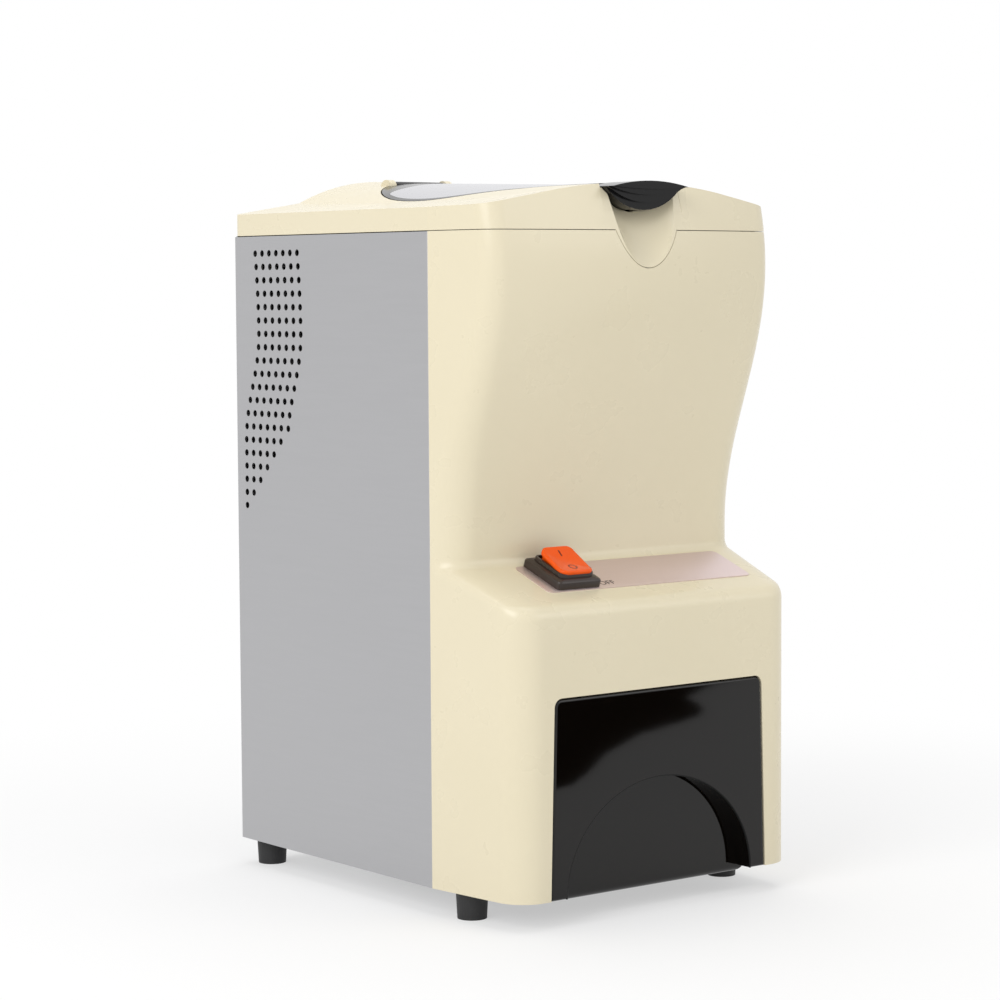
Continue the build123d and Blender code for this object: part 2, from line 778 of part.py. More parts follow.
with BuildPart() as cord_gland:
    with BuildSketch(facing(rear_y - sheet)):
        with Locations((gland_x, gland_z)):
            RegularPolygon(gland_flange, round_sides)
    extrude(amount=-gland_proud)
    chamfer(cord_gland.edges().group_by(Axis.Y)[-1], gland_flange - gland_radius)
    with BuildSketch(facing(rear_y - sheet)):
        with Locations((gland_x, gland_z)):
            RegularPolygon(gland_radius, round_sides)
    extrude(amount=sheet + nut_thick + 1)
    with BuildSketch(facing(rear_y + gland_proud)):
        with Locations((gland_x, gland_z)):
            RegularPolygon(cord_radius, small_sides)
    extrude(amount=3 * gland_proud, mode=Mode.SUBTRACT)
write(cord_gland.part, "cord_gland")

with BuildPart() as gland_nut:
    with BuildSketch(facing(rear_y - 2 * sheet)):
        with Locations((gland_x, gland_z)):
            RegularPolygon(gland_flange, 6)
            RegularPolygon(gland_radius, round_sides, mode=Mode.SUBTRACT)
    extrude(amount=nut_thick)
write(gland_nut.part, "gland_nut")

# ================================================================ feet
for name, x, y in feet:
    with BuildPart() as foot:
        with BuildSketch(Plane.XY.offset(base_z)):
            with Locations((x, y)):
                RegularPolygon(foot_radius, round_sides)
        extrude(amount=-foot_height, taper=foot_taper)
        with BuildSketch(Plane.XY):
            with Locations((x, y)):
                RegularPolygon(foot_recess_radius, small_sides)
        extrude(amount=foot_recess_depth, mode=Mode.SUBTRACT)
        with BuildSketch(Plane.XY):
            with Locations((x, y)):
                RegularPolygon(screw_radius, small_sides)
        extrude(amount=base_z, mode=Mode.SUBTRACT)
    write(foot.part, name)

with BuildPart() as foot_screws:
    with BuildSketch(Plane.XY.offset(foot_recess_depth)):
        with Locations([(x, y) for name, x, y in feet]):
            RegularPolygon(screw_head, small_sides)
    extrude(amount=-screw_head / 2)
    with BuildSketch(Plane.XY.offset(foot_recess_depth)):
        with Locations([(x, y) for name, x, y in feet]):
            RegularPolygon(screw_radius, small_sides)
    extrude(amount=base_z + tray + 1 - foot_recess_depth)
write(foot_screws.part, "foot_screws")

# ================================================================ hopper and crusher
def turned(start, end, radius, bore=0, sides=round_sides):
    """A round piece about the rotor's axis between two planes, its outside in flats; its bore is true."""
    with BuildPart() as piece:
        with BuildSketch(facing(min(start, end))):
            with Locations((0, axis_z)):
                if sides > 0:
                    RegularPolygon(radius, sides)
                else:
                    Circle(radius)
                if bore > 0:
                    Circle(bore, mode=Mode.SUBTRACT)
        extrude(amount=-abs(end - start))
    return piece.part


funnel_centre_y = (chamber_front + chamber_back) / 2
outlet_front = chamber_front + casting_wall
outlet_back = chamber_back - casting_wall
bell_front = chamber_back + casting_wall
cover_screw_points = [(x * boss_offset, axis_z + z * boss_offset) for x in (-1, 1) for z in (-1, 1)]

with BuildPart() as hopper:
    with BuildSketch(Plane.XY.offset(well_under - hopper_wall)):
        with Locations((0, mouth_centre_y)):
            add(funnel_plan(mouth_x + hopper_rim, mouth_y + hopper_rim, mouth_corner))
    extrude(amount=hopper_wall)
    for grow, mode in ((hopper_wall, Mode.ADD), (0, Mode.SUBTRACT)):
        with BuildSketch(Plane.XY.offset(well_under)):
            with Locations((0, mouth_centre_y)):
                add(funnel_plan(mouth_x + grow, mouth_y + grow, mouth_corner))
        with BuildSketch(Plane.XY.offset(housing_top)):
            with Locations((0, funnel_centre_y)):
                add(funnel_plan(funnel_x + grow, funnel_y + grow, funnel_corner))
        loft(ruled=True, mode=mode)
write(hopper.part, "hopper")

with BuildPart() as casting:
    with BuildSketch(facing(chamber_front)):
        with Locations((0, axis_z)):
            Circle(chamber_radius + casting_wall)
        with Locations((0, (housing_foot + axis_z) / 2)):
            Rectangle(2 * (chute_half + casting_wall), axis_z - housing_foot)
        with Locations((0, (housing_top + axis_z) / 2)):
            Rectangle(2 * (funnel_x + casting_wall), housing_top - axis_z)
        with Locations(cover_screw_points):
            RegularPolygon(boss_radius, small_sides)
    extrude(amount=chamber_front - chamber_back - casting_wall)

with BuildPart() as crusher_housing:
    add(casting.part)
    add(turned(chamber_front, chamber_back, chamber_radius, sides=0), mode=Mode.SUBTRACT)
    add(turned(chamber_back, bell_front, shaft_hole), mode=Mode.SUBTRACT)
    with BuildSketch(Plane.XY.offset(axis_z)):
        with Locations((0, funnel_centre_y)):
            add(funnel_plan(funnel_x, funnel_y, funnel_corner))
    extrude(amount=housing_top - axis_z, mode=Mode.SUBTRACT)
    with BuildSketch(Plane.XY.offset(housing_foot)):
        with Locations((0, (outlet_front + outlet_back) / 2)):
            Rectangle(2 * chute_half, outlet_back - outlet_front)
    extrude(amount=axis_z - housing_foot, mode=Mode.SUBTRACT)
    with BuildSketch(facing(chamber_front)):
        with Locations(cover_screw_points):
            RegularPolygon(screw_radius, small_sides)
    extrude(amount=-screw_length, mode=Mode.SUBTRACT)
write(crusher_housing.part, "crusher_housing")

with BuildPart() as crusher_cover:
    with BuildSketch(facing(chamber_front)):
        add(casting.faces().sort_by(Axis.Y)[0])
        with Locations(cover_screw_points):
            RegularPolygon(screw_radius, small_sides, mode=Mode.SUBTRACT)
    extrude(amount=casting_wall)
write(crusher_cover.part, "crusher_cover")

with BuildPart() as cover_screws:
    with BuildSketch(facing(chamber_front - casting_wall)):
        with Locations(cover_screw_points):
            RegularPolygon(screw_head, small_sides)
    extrude(amount=screw_radius)
    with BuildSketch(facing(chamber_front - casting_wall)):
        with Locations(cover_screw_points):
            RegularPolygon(screw_radius, small_sides)
    extrude(amount=-casting_wall - screw_length)
write(cover_screws.part, "cover_screws")

blade_ys = [funnel_centre_y + (row - (blade_rows - 1) / 2) * blade_pitch for row in range(blade_rows)]
comb_ys = [y + blade_pitch / 2 for y in blade_ys[:-1]]

with BuildPart() as fixed_comb:
    with BuildSketch(facing(chamber_front)):
        with Locations((0, axis_z)):
            Circle(chamber_radius)
        with Locations((blade_reach + blade_gap + chamber_radius / 2, axis_z)):
            Rectangle(chamber_radius, comb_height, mode=Mode.INTERSECT)
    extrude(amount=chamber_front - chamber_back)
    for y in comb_ys:
        with BuildSketch(facing(y - comb_thick / 2)):
            with BuildLine():
                Polyline((chamber_radius - blade_gap, axis_z + comb_height / 2),
                         (hub_radius + comb_thick, axis_z + comb_height / 8),
                         (hub_radius + comb_thick, axis_z - comb_height / 8),
                         (chamber_radius - blade_gap, axis_z - comb_height / 2), close=True)
            make_face()
            with Locations((0, axis_z)):
                Circle(chamber_radius, mode=Mode.INTERSECT)
        extrude(amount=-comb_thick)
write(fixed_comb.part, "fixed_comb")

with BuildPart() as outlet_chute:
    with BuildSketch(Plane.XY.offset(chute_foot_z)):
        with Locations((0, funnel_centre_y)):
            Rectangle(2 * (chute_half + chute_wall), outlet_back - outlet_front + 2 * chute_wall)
    extrude(amount=housing_foot - chute_foot_z)
    with BuildSketch(Plane.XY.offset(housing_foot)):
        with Locations((0, funnel_centre_y)):
            Rectangle(2 * (chute_half + chute_rim), outlet_back - outlet_front + 2 * chute_rim)
    extrude(amount=-chute_wall)
    with BuildSketch(Plane.XY.offset(housing_foot)):
        with Locations((0, funnel_centre_y)):
            Rectangle(2 * chute_half, outlet_back - outlet_front)
    extrude(amount=chute_foot_z - housing_foot, mode=Mode.SUBTRACT)
write(outlet_chute.part, "outlet_chute")

# ================================================================ rotor
shaft_front = chamber_front + 2
hub_front = shaft_front + nut_height
write(turned(shaft_front, shaft_back, shaft_radius, sides=0), "motor_shaft")
write(turned(hub_front, chamber_back - casting_wall, hub_radius, shaft_radius, 6), "crusher_hub")
write(turned(stator_front + 2, stator_back - 2, core_radius, shaft_radius), "rotor_core")

with BuildPart() as crusher_blades:
    for row, y in enumerate(blade_ys):
        with BuildSketch(facing(y - blade_thick / 2)):
            with Locations((0, axis_z)):
                RegularPolygon(hub_radius + casting_wall, small_sides)
            with Locations([Location((0, axis_z, 0), (0, 0, row * blade_turn + half)) for half in (0, 180)]):
                Polygon(*hook, align=None)
            with Locations((0, axis_z)):
                Circle(blade_reach, mode=Mode.INTERSECT)
                RegularPolygon(hub_radius, 6, mode=Mode.SUBTRACT)
        extrude(amount=-blade_thick)
write(crusher_blades.part, "crusher_blades")

with BuildPart() as hub_nut:
    with BuildSketch(facing(hub_front)):
        with Locations((0, axis_z)):
            RegularPolygon(hub_radius - 2, 6)
            Circle(shaft_radius, mode=Mode.SUBTRACT)
    extrude(amount=nut_height)
write(hub_nut.part, "hub_nut")

with BuildPart() as cooling_fan:
    add(turned(fan_front, fan_front + fan_width, fan_hub, shaft_radius))
    add(turned(fan_front, fan_front + fan_plate, fan_radius, shaft_radius))
    with BuildSketch(facing(fan_front + fan_plate)):
        with Locations([Location((0, axis_z, 0), (0, 0, 360 * blade / fan_blades)) for blade in range(fan_blades)]):
            Rectangle(fan_radius - fan_hub, fan_plate, align=(Align.MIN, Align.CENTER))
        with Locations((0, axis_z)):
            RegularPolygon(fan_hub, round_sides, mode=Mode.SUBTRACT)
    extrude(amount=fan_plate - fan_width)
write(cooling_fan.part, "cooling_fan")

# ================================================================ motor
front_seat = bell_front + bell_plate
rear_seat = motor_back - moulding_wall


def bell(face, seat, rim):
    """An end bell: its face, a rim that meets the stator and a seat for the bearing."""
    pocket = seat + math.copysign(bearing_width, rim - seat)
    with BuildPart() as piece:
        add(turned(face, rim, motor_radius, shaft_hole))
        add(turned(seat, rim, motor_radius - bell_rim), mode=Mode.SUBTRACT)
        add(turned(seat, pocket, bearing_radius + boss_wall, bearing_radius))
    return piece.part


write(bell(bell_front, front_seat, stator_front), "motor_front_bell")
write(bell(motor_back, rear_seat, stator_back), "motor_rear_bell")
write(turned(front_seat, front_seat + bearing_width, bearing_radius, shaft_radius + bearing_fit), "front_bearing")
write(turned(rear_seat, rear_seat - bearing_width, bearing_radius, shaft_radius + bearing_fit), "rear_bearing")
write(turned(stator_front, stator_back, motor_radius, motor_bore), "motor_stator")

with BuildPart() as field_coils:
    for start, end in ((stator_front, stator_front - coil_length), (stator_back, stator_back + coil_length)):
        add(turned(start, end, coil_outer))
        add(turned(start, end, coil_inner), mode=Mode.SUBTRACT)
write(field_coils.part, "field_coils")

with BuildPart() as motor_cradle:
    with BuildSketch(Plane.XY.offset(base_z + tray)):
        with Locations((0, (slot_back + 1 + cradle_back) / 2)):
            Rectangle(2 * cradle_foot, cradle_back - slot_back - 1)
        with Locations(bolt_points):
            RegularPolygon(bolt_radius, small_sides, mode=Mode.SUBTRACT)
    extrude(amount=tray)
    for y in cradle_ys:
        with BuildSketch(facing(y)):
            with Locations((0, (base_z + tray + axis_z) / 2)):
                Rectangle(2 * cradle_half, axis_z - base_z - tray)
            with Locations((0, axis_z)):
                Circle(motor_radius, mode=Mode.SUBTRACT)
            with Locations((0, (base_z + axis_z - motor_radius) / 2)):
                RectangleRounded(1.2 * cradle_half, axis_z - motor_radius - 3 * flange - base_z, flange,
                                 mode=Mode.SUBTRACT)
            with Locations((0, axis_z)):
                Rectangle(body_width, 2 * math.sqrt(motor_radius ** 2 - cradle_half ** 2), mode=Mode.SUBTRACT)
        extrude(amount=-cradle_plate)
write(motor_cradle.part, "motor_cradle")

with BuildPart() as cradle_bolts:
    with BuildSketch(Plane.XY.offset(base_z + 2 * tray)):
        with Locations(bolt_points):
            RegularPolygon(bolt_head, 6)
    extrude(amount=bolt_radius)
    with BuildSketch(Plane.XY.offset(base_z)):
        with Locations(bolt_points):
            RegularPolygon(bolt_radius, small_sides)
    extrude(amount=2 * tray)
write(cradle_bolts.part, "cradle_bolts")

with BuildPart() as run_capacitor:
    with BuildSketch(Plane.XY.offset(base_z + tray)):
        with Locations((capacitor_x, capacitor_y)):
            RegularPolygon(capacitor_radius, round_sides)
    extrude(amount=capacitor_height)
    with BuildSketch(Plane.XY.offset(base_z + tray + capacitor_height)):
        with Locations((capacitor_x - terminal_step / 2, capacitor_y), (capacitor_x + terminal_step / 2, capacitor_y)):
            Rectangle(terminal[1], terminal[0])
    extrude(amount=terminal[2])
write(run_capacitor.part, "run_capacitor")

with BuildPart() as reed_switch:
    with BuildSketch(Plane.XY.offset(well_under)):
        with Locations((0, magnet_y)):
            Rectangle(reed_size[0], reed_size[1])
    extrude(amount=-reed_size[2])
write(reed_switch.part, "reed_switch")

# ================================================================ switch and label
pivot_plane = Plane(origin=shelf_plane.from_local_coords((switch_x, switch_u, pivot_height)),
                    x_dir=shelf_plane.y_dir, z_dir=(1, 0, 0))
rocker_lean = math.radians(shelf_slope + rocker_travel / 2)     # at rest its front end is pressed in
rocker_plane = Plane(origin=pivot_plane.origin, x_dir=(0, math.cos(rocker_lean), math.sin(rocker_lean)),
                     z_dir=(1, 0, 0))
opening_x = rocker_width + 2 * rocker_gap
opening_y = 2 * (rocker_radius + rocker_gap)

with BuildPart() as label_plate:
    with BuildSketch(shelf_plane):
        with Locations(((label_left + label_right) / 2, switch_u)):
            RectangleRounded(label_right - label_left, label_length, label_corner)
        with Locations((switch_x, switch_u)):
            Rectangle(switch_hole_x, switch_hole_y, mode=Mode.SUBTRACT)
    extrude(amount=label_thick)
write(label_plate.part, "label_plate")

with BuildPart() as switch_bezel:
    with BuildSketch(shelf_plane.offset(label_thick)):
        with Locations((switch_x, switch_u)):
            RectangleRounded(bezel_width, bezel_length, bezel_round)
    extrude(amount=bezel_height - label_thick)
    chamfer(switch_bezel.faces().sort_by(Axis(shelf_plane.origin, shelf_plane.z_dir))[-1].edges(), bezel_round / 2)
    with BuildSketch(shelf_plane.offset(label_thick)):
        with Locations((switch_x, switch_u)):
            Rectangle(switch_hole_x, switch_hole_y)
    extrude(amount=-label_thick - skirt_depth)
    with BuildSketch(shelf_plane.offset(-skirt_depth)):
        with Locations((switch_x, switch_u)):
            Rectangle(opening_x, opening_y)
    extrude(amount=skirt_depth + bezel_height, mode=Mode.SUBTRACT)
    with BuildSketch(pivot_plane):
        Circle(pivot_radius + pin_fit)
    extrude(amount=rocker_width / 2 + pivot_length + rocker_gap, both=True, mode=Mode.SUBTRACT)
write(switch_bezel.part, "switch_bezel")

with BuildPart() as switch_body:
    with BuildSketch(shelf_plane.offset(-skirt_depth)):
        with Locations((switch_x, switch_u)):
            Rectangle(switch_hole_x, switch_hole_y)
    extrude(amount=-switch_body_depth)
write(switch_body.part, "switch_body")

with BuildPart() as switch_terminals:
    with BuildSketch(shelf_plane.offset(-skirt_depth - switch_body_depth)):
        with Locations((switch_x, switch_u)):
            with GridLocations(1.5 * terminal_step, terminal_step, 2, 3):
                Rectangle(terminal[0], terminal[1])
    extrude(amount=-terminal[2])
write(switch_terminals.part, "switch_terminals")

with BuildPart() as switch_rocker:
    with BuildSketch(rocker_plane):
        with BuildLine():
            rise = rocker_rise + rocker_width * math.tan(math.radians(rocker_travel / 2))
            Polyline((-rocker_width, rise), (0, rocker_rise), (rocker_width, rise),
                     (rocker_width, -rocker_keel), (-rocker_width, -rocker_keel), close=True)
        make_face()
        Circle(rocker_radius, mode=Mode.INTERSECT)
    extrude(amount=rocker_width / 2, both=True)
    chamfer(switch_rocker.faces().sort_by(Axis.X)[0].edges() + switch_rocker.faces().sort_by(Axis.X)[-1].edges(), 0.6)
    with BuildSketch(pivot_plane):
        Circle(pivot_radius)
    extrude(amount=rocker_width / 2 + pivot_length, both=True)
write(switch_rocker.part, "switch_rocker")
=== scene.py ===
"""Looks of the electric ice crusher: cream mouldings, steel sides, black lid and drawer."""
import json
import math

import bmesh
import bpy
from mathutils import Matrix, Vector


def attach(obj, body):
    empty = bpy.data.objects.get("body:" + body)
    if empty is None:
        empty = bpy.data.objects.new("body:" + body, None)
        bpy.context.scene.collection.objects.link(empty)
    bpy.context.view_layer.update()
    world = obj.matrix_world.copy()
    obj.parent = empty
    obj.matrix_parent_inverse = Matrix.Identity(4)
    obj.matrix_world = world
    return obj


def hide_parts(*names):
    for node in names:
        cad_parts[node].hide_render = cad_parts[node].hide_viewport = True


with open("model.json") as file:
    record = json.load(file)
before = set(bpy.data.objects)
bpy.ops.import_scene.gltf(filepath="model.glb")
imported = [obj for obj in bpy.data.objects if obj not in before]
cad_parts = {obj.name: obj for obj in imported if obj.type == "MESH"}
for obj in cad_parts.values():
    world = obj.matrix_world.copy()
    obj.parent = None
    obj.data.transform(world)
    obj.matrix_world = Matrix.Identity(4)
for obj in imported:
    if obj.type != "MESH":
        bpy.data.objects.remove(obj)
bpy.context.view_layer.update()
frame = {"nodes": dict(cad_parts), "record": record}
MM = 0.001


def paint(red, green, blue):
    """A colour as a painter's chart gives it, from 0 to 255, for a shader's socket."""
    def linear(value):
        value /= 255
        return value / 12.92 if value <= 0.04045 else ((value + 0.055) / 1.055) ** 2.4
    return (linear(red), linear(green), linear(blue), 1)


def darker(tone, share):
    """The same colour with only this share of its light."""
    return tuple(share * c for c in tone[:3]) + (1,)


class Wire:
    """A value on its way through a graph; arithmetic with it adds Math nodes."""

    def __init__(self, graph, socket):
        self.graph = graph
        self.socket = socket

    def sum(self, operation, *terms):
        return self.graph.node("ShaderNodeMath", {"operation": operation}, dict(enumerate(terms)))["Value"]

    def __add__(self, other):
        return self.sum("ADD", self, other)

    def __radd__(self, other):
        return self.sum("ADD", other, self)

    def __sub__(self, other):
        return self.sum("SUBTRACT", self, other)

    def __rsub__(self, other):
        return self.sum("SUBTRACT", other, self)

    def __mul__(self, other):
        return self.sum("MULTIPLY", self, other)

    def __rmul__(self, other):
        return self.sum("MULTIPLY", other, self)

    def __truediv__(self, other):
        return self.sum("DIVIDE", self, other)

    def __rtruediv__(self, other):
        return self.sum("DIVIDE", other, self)


class Graph:
    """A node tree to which nodes are added one call at a time."""

    def __init__(self, tree):
        self.tree = tree

    def node(self, kind, settings=None, values=None):
        """Adds a node: its own settings first, then its sockets; gives its outputs by name."""
        made = self.tree.nodes.new(kind)
        for key, value in (settings or {}).items():
            setattr(made, key, value)
        for key, value in (values or {}).items():
            for each in value if isinstance(value, list) else [value]:
                if isinstance(each, Wire):
                    self.tree.links.new(each.socket, made.inputs[key])
                else:
                    made.inputs[key].default_value = each
        return {out.name: Wire(self, out) for out in made.outputs if out.enabled}


class Finish(Graph):
    """One material: a Principled shader with plain settings, fed by whatever varies over it."""

    def __init__(self, name, colour, **settings):
        self.material = bpy.data.materials.new(name)
        self.material.use_nodes = True
        super().__init__(self.material.node_tree)
        self.shader = self.tree.nodes["Principled BSDF"]
        self.shader.inputs["Base Color"].default_value = colour
        for key, value in settings.items():
            self.shader.inputs[key.replace("_", " ")].default_value = value
        self.place = self.node("ShaderNodeTexCoord")["Object"]

    def feed(self, name, wire):
        self.tree.links.new(wire.socket, self.shader.inputs[name])

    def stretched(self, scale):
        return self.node("ShaderNodeMapping", None, {"Vector": self.place, "Scale": scale})["Vector"]

    def noise(self, scale, detail=2.0, roughness=0.5, place=None):
        return self.node("ShaderNodeTexNoise", {"noise_dimensions": "3D"},
                         {"Vector": place or self.place, "Scale": scale, "Detail": detail,
                          "Roughness": roughness})["Fac"]

    def blend(self, factor, first, second):
        return Wire(self, self.node("ShaderNodeMix", {"data_type": "RGBA"},
                                    {0: factor, 6: first, 7: second})["Result"].socket)

    def relief(self, height, depth):
        bump = self.node("ShaderNodeBump", None, {"Height": height, "Distance": depth, "Strength": 1.0})
        self.feed("Normal", bump["Normal"])


# ------------------------------------------------------------------ finishes
def cream_moulding():
    """Satin cream plastic with a faint moulded ripple and soft handling marks."""
    finish = Finish("cream_moulding", paint(226, 216, 188), Roughness=0.28, Specular_IOR_Level=0.45)
    cloud = finish.noise(9.0, 3.0)
    finish.feed("Base Color", finish.blend(cloud, paint(228, 218, 191), paint(224, 214, 185)))
    finish.feed("Roughness", 0.25 + 0.06 * finish.noise(35.0, 4.0))
    finish.relief(finish.noise(1400.0, 2.0) + 2.0 * finish.noise(60.0, 1.0), 0.000025)
    return finish.material


def brushed_sheet(name, tone, roughness, grain):
    """Rolled sheet with fine grain along its length."""
    finish = Finish(name, tone, Metallic=1.0, Roughness=roughness)
    lines = finish.noise(420.0, 3.0, 0.6, finish.stretched(grain))
    cloud = finish.noise(7.0, 2.0)
    finish.feed("Base Color", finish.blend(lines, darker(tone, 0.93), tone))
    finish.feed("Roughness", roughness - 0.07 + 0.1 * lines + 0.05 * cloud)
    finish.relief(lines, 0.000012)
    return finish.material


def moulded_plastic(name, tone, roughness, grain, depth, specular=0.5):
    """Plain moulded plastic: a fine texture and a slight unevenness in its gloss."""
    finish = Finish(name, tone, Roughness=roughness, Specular_IOR_Level=specular)
    finish.feed("Base Color", finish.blend(finish.noise(25.0, 3.0), tone, darker(tone, 0.86)))
    finish.feed("Roughness", roughness * (0.85 + 0.3 * finish.noise(40.0, 3.0)))
    finish.relief(finish.noise(grain, 2.0), depth)
    return finish.material


def cast_metal():
    """As-cast alloy: grainy and dull."""
    finish = Finish("cast_alloy", (0.5, 0.5, 0.5, 1), Metallic=0.9, Roughness=0.5)
    grain = finish.noise(900.0, 4.0, 0.7)
    finish.feed("Base Color", finish.blend(grain, (0.4, 0.4, 0.41, 1), (0.56, 0.56, 0.57, 1)))
    finish.feed("Roughness", 0.42 + 0.2 * grain)
    finish.relief(grain, 0.0001)
    return finish.material


def laminations():
    """A stack of thin iron plates: dark lines across the motor's axis."""
    finish = Finish("stator_iron", (0.16, 0.16, 0.17, 1), Metallic=0.8, Roughness=0.5)
    wave = finish.node("ShaderNodeTexWave", {"wave_type": "BANDS", "bands_direction": "Y"},
                       {"Vector": finish.place, "Scale": 300.0, "Distortion": 0.0})["Fac"]
    finish.feed("Base Color", finish.blend(wave, (0.06, 0.06, 0.065, 1), (0.2, 0.2, 0.21, 1)))
    finish.feed("Roughness", 0.4 + 0.2 * wave)
    finish.relief(wave, 0.00015)
    return finish.material


def copper():
    """Varnished enamelled windings: fine round turns."""
    finish = Finish("copper_coils", (0.4, 0.13, 0.04, 1), Metallic=0.7, Roughness=0.3, Coat_Weight=0.4)
    wave = finish.node("ShaderNodeTexWave", {"wave_type": "RINGS", "rings_direction": "Y"},
                       {"Vector": finish.place, "Scale": 160.0, "Distortion": 1.5})["Fac"]
    finish.feed("Base Color", finish.blend(wave, (0.2, 0.05, 0.015, 1), (0.5, 0.18, 0.06, 1)))
    finish.feed("Roughness", 0.26 + 0.14 * finish.noise(200.0, 2.0))
    finish.relief(wave, 0.0002)
    return finish.material


cream = cream_moulding()
steel = brushed_sheet("steel_sheet", paint(184, 184, 186), 0.36, (1.0, 0.06, 1.0))
zinc = brushed_sheet("galvanised_sheet", paint(168, 170, 173), 0.5, (1.0, 0.4, 0.3))
silver = brushed_sheet("lid_plate", paint(202, 202, 207), 0.2, (1.0, 0.1, 1.0))
ground = brushed_sheet("stainless", paint(190, 190, 194), 0.3, (1.0, 1.0, 0.1))
bright = brushed_sheet("bright_fixings", paint(200, 200, 205), 0.22, (1.0, 1.0, 1.0))
race = brushed_sheet("bearing_steel", paint(185, 186, 190), 0.18, (1.0, 0.2, 1.0))
foil = brushed_sheet("label_foil", paint(222, 206, 204), 0.5, (0.05, 1.0, 1.0))
brass = brushed_sheet("brass_tabs", (0.55, 0.38, 0.13, 1), 0.3, (1.0, 1.0, 0.2))
can = brushed_sheet("capacitor_case", paint(205, 205, 208), 0.3, (1.0, 1.0, 0.05))
black = moulded_plastic("black_moulding", paint(8, 8, 9), 0.16, 1600.0, 0.00001, 0.3)
smoke = moulded_plastic("smoked_plastic", paint(9, 6, 4), 0.05, 90.0, 0.000003, 0.36)
bead = moulded_plastic("arch_edge", paint(2, 2, 2), 0.3, 90.0, 0.000003, 0.2)
brown = moulded_plastic("brown_plastic", paint(44, 32, 27), 0.3, 1500.0, 0.00003)
dull_black = moulded_plastic("black_plastic", paint(28, 28, 29), 0.45, 1200.0, 0.00006)
orange = moulded_plastic("orange_plastic", paint(250, 92, 14), 0.16, 400.0, 0.000006, 0.22)
rubber = moulded_plastic("foot_rubber", paint(33, 33, 34), 0.6, 900.0, 0.00012)
white = moulded_plastic("white_plastic", paint(226, 226, 221), 0.42, 1200.0, 0.00004)
grey = moulded_plastic("fan_plastic", paint(60, 60, 62), 0.4, 1200.0, 0.00005)
ferrite = moulded_plastic("magnet", paint(62, 62, 65), 0.55, 1800.0, 0.0001)
ink = moulded_plastic("print_ink", paint(44, 28, 32), 0.5, 2500.0, 0.00002, 0.2)
dark_red = moulded_plastic("mark_ink", paint(96, 20, 6), 0.3, 2500.0, 0.00001, 0.2)
by_slot = {"cream_moulding": cream, "steel_sheet": steel, "galvanised_sheet": zinc, "bright_fixings": bright,
           "black_moulding": black, "lid_plate": silver, "magnet": ferrite, "smoked_plastic": smoke,
           "label_foil": foil, "brown_plastic": brown, "black_plastic": dull_black, "orange_plastic": orange,
           "brass_tabs": brass, "foot_rubber": rubber, "white_plastic": white, "cast_alloy": cast_metal(),
           "stainless": ground, "bearing_steel": race, "stator_iron": laminations(), "copper_coils": copper(),
           "fan_plastic": grey, "capacitor_case": can}

slot_of = {part["node"]: part["material_slot"] for part in frame["record"]["subparts"]}
for node, thing in frame["nodes"].items():
    for held in thing.material_slots:
        held.material = by_slot[slot_of[node]]


# ------------------------------------------------------------------ making pieces
def shell(name, points, faces, finish):
    """A mesh in millimetres, its doubles merged and its normals outwards."""
    mesh = bpy.data.meshes.new(name)
    mesh.from_pydata([Vector(p) * MM for p in points], [], faces)
    mesh.materials.append(finish)
    work = bmesh.new()
    work.from_mesh(mesh)
    bmesh.ops.remove_doubles(work, verts=work.verts, dist=1e-5)
    bmesh.ops.recalc_face_normals(work, faces=work.faces)
    work.to_mesh(mesh)
    work.free()
    thing = bpy.data.objects.new(name, mesh)
    bpy.context.collection.objects.link(thing)
    return thing


def settle(thing, body, slot, *stands_for, bend=35):
    """Smooths a piece up to the bend, sets it on its body and hides the nodes that it stands for."""
    thing.data.shade_smooth()
    thing.data.set_sharp_from_angle(angle=math.radians(bend))
    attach(thing, body)
    if stands_for:
        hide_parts(*stands_for)
    return thing


def bake(thing):
    """Makes what the modifiers give into the piece's own mesh."""
    bpy.context.view_layer.update()
    made = bpy.data.meshes.new_from_object(thing.evaluated_get(bpy.context.evaluated_depsgraph_get()))
    thing.modifiers.clear()
    thing.data = made


def stack(rings):
    """Points and faces of a closed solid through rings of as many points each."""
    count = len(rings[0])

    def at(ring, i):
        return ring * count + i % count

    faces = [(at(r, i), at(r, i + 1), at(r + 1, i + 1), at(r + 1, i))
             for r in range(len(rings) - 1) for i in range(count)]
    faces.append(tuple(range(count)))
    faces.append(tuple(range((len(rings) - 1) * count, len(rings) * count)))
    return [p for ring in rings for p in ring], faces


def rounded(half_x, half_y, radius, steps=6):
    """Plan of a rectangle with round corners."""
    points = []
    for quarter, (sx, sy) in enumerate(((1, 1), (-1, 1), (-1, -1), (1, -1))):
        for step in range(steps + 1):
            angle = math.pi / 2 * (quarter + step / steps)
            points.append((sx * (half_x - radius) + radius * math.cos(angle),
                           sy * (half_y - radius) + radius * math.sin(angle)))
    return points


def cut(thing, *tools):
    """Cuts solids out of a piece and deletes them."""
    for tool in tools:
        knife = thing.modifiers.new("cut", "BOOLEAN")
        knife.operation = "DIFFERENCE"
        knife.solver = "EXACT"
        knife.object = tool
    bake(thing)
    for tool in tools:
        bpy.data.objects.remove(tool)


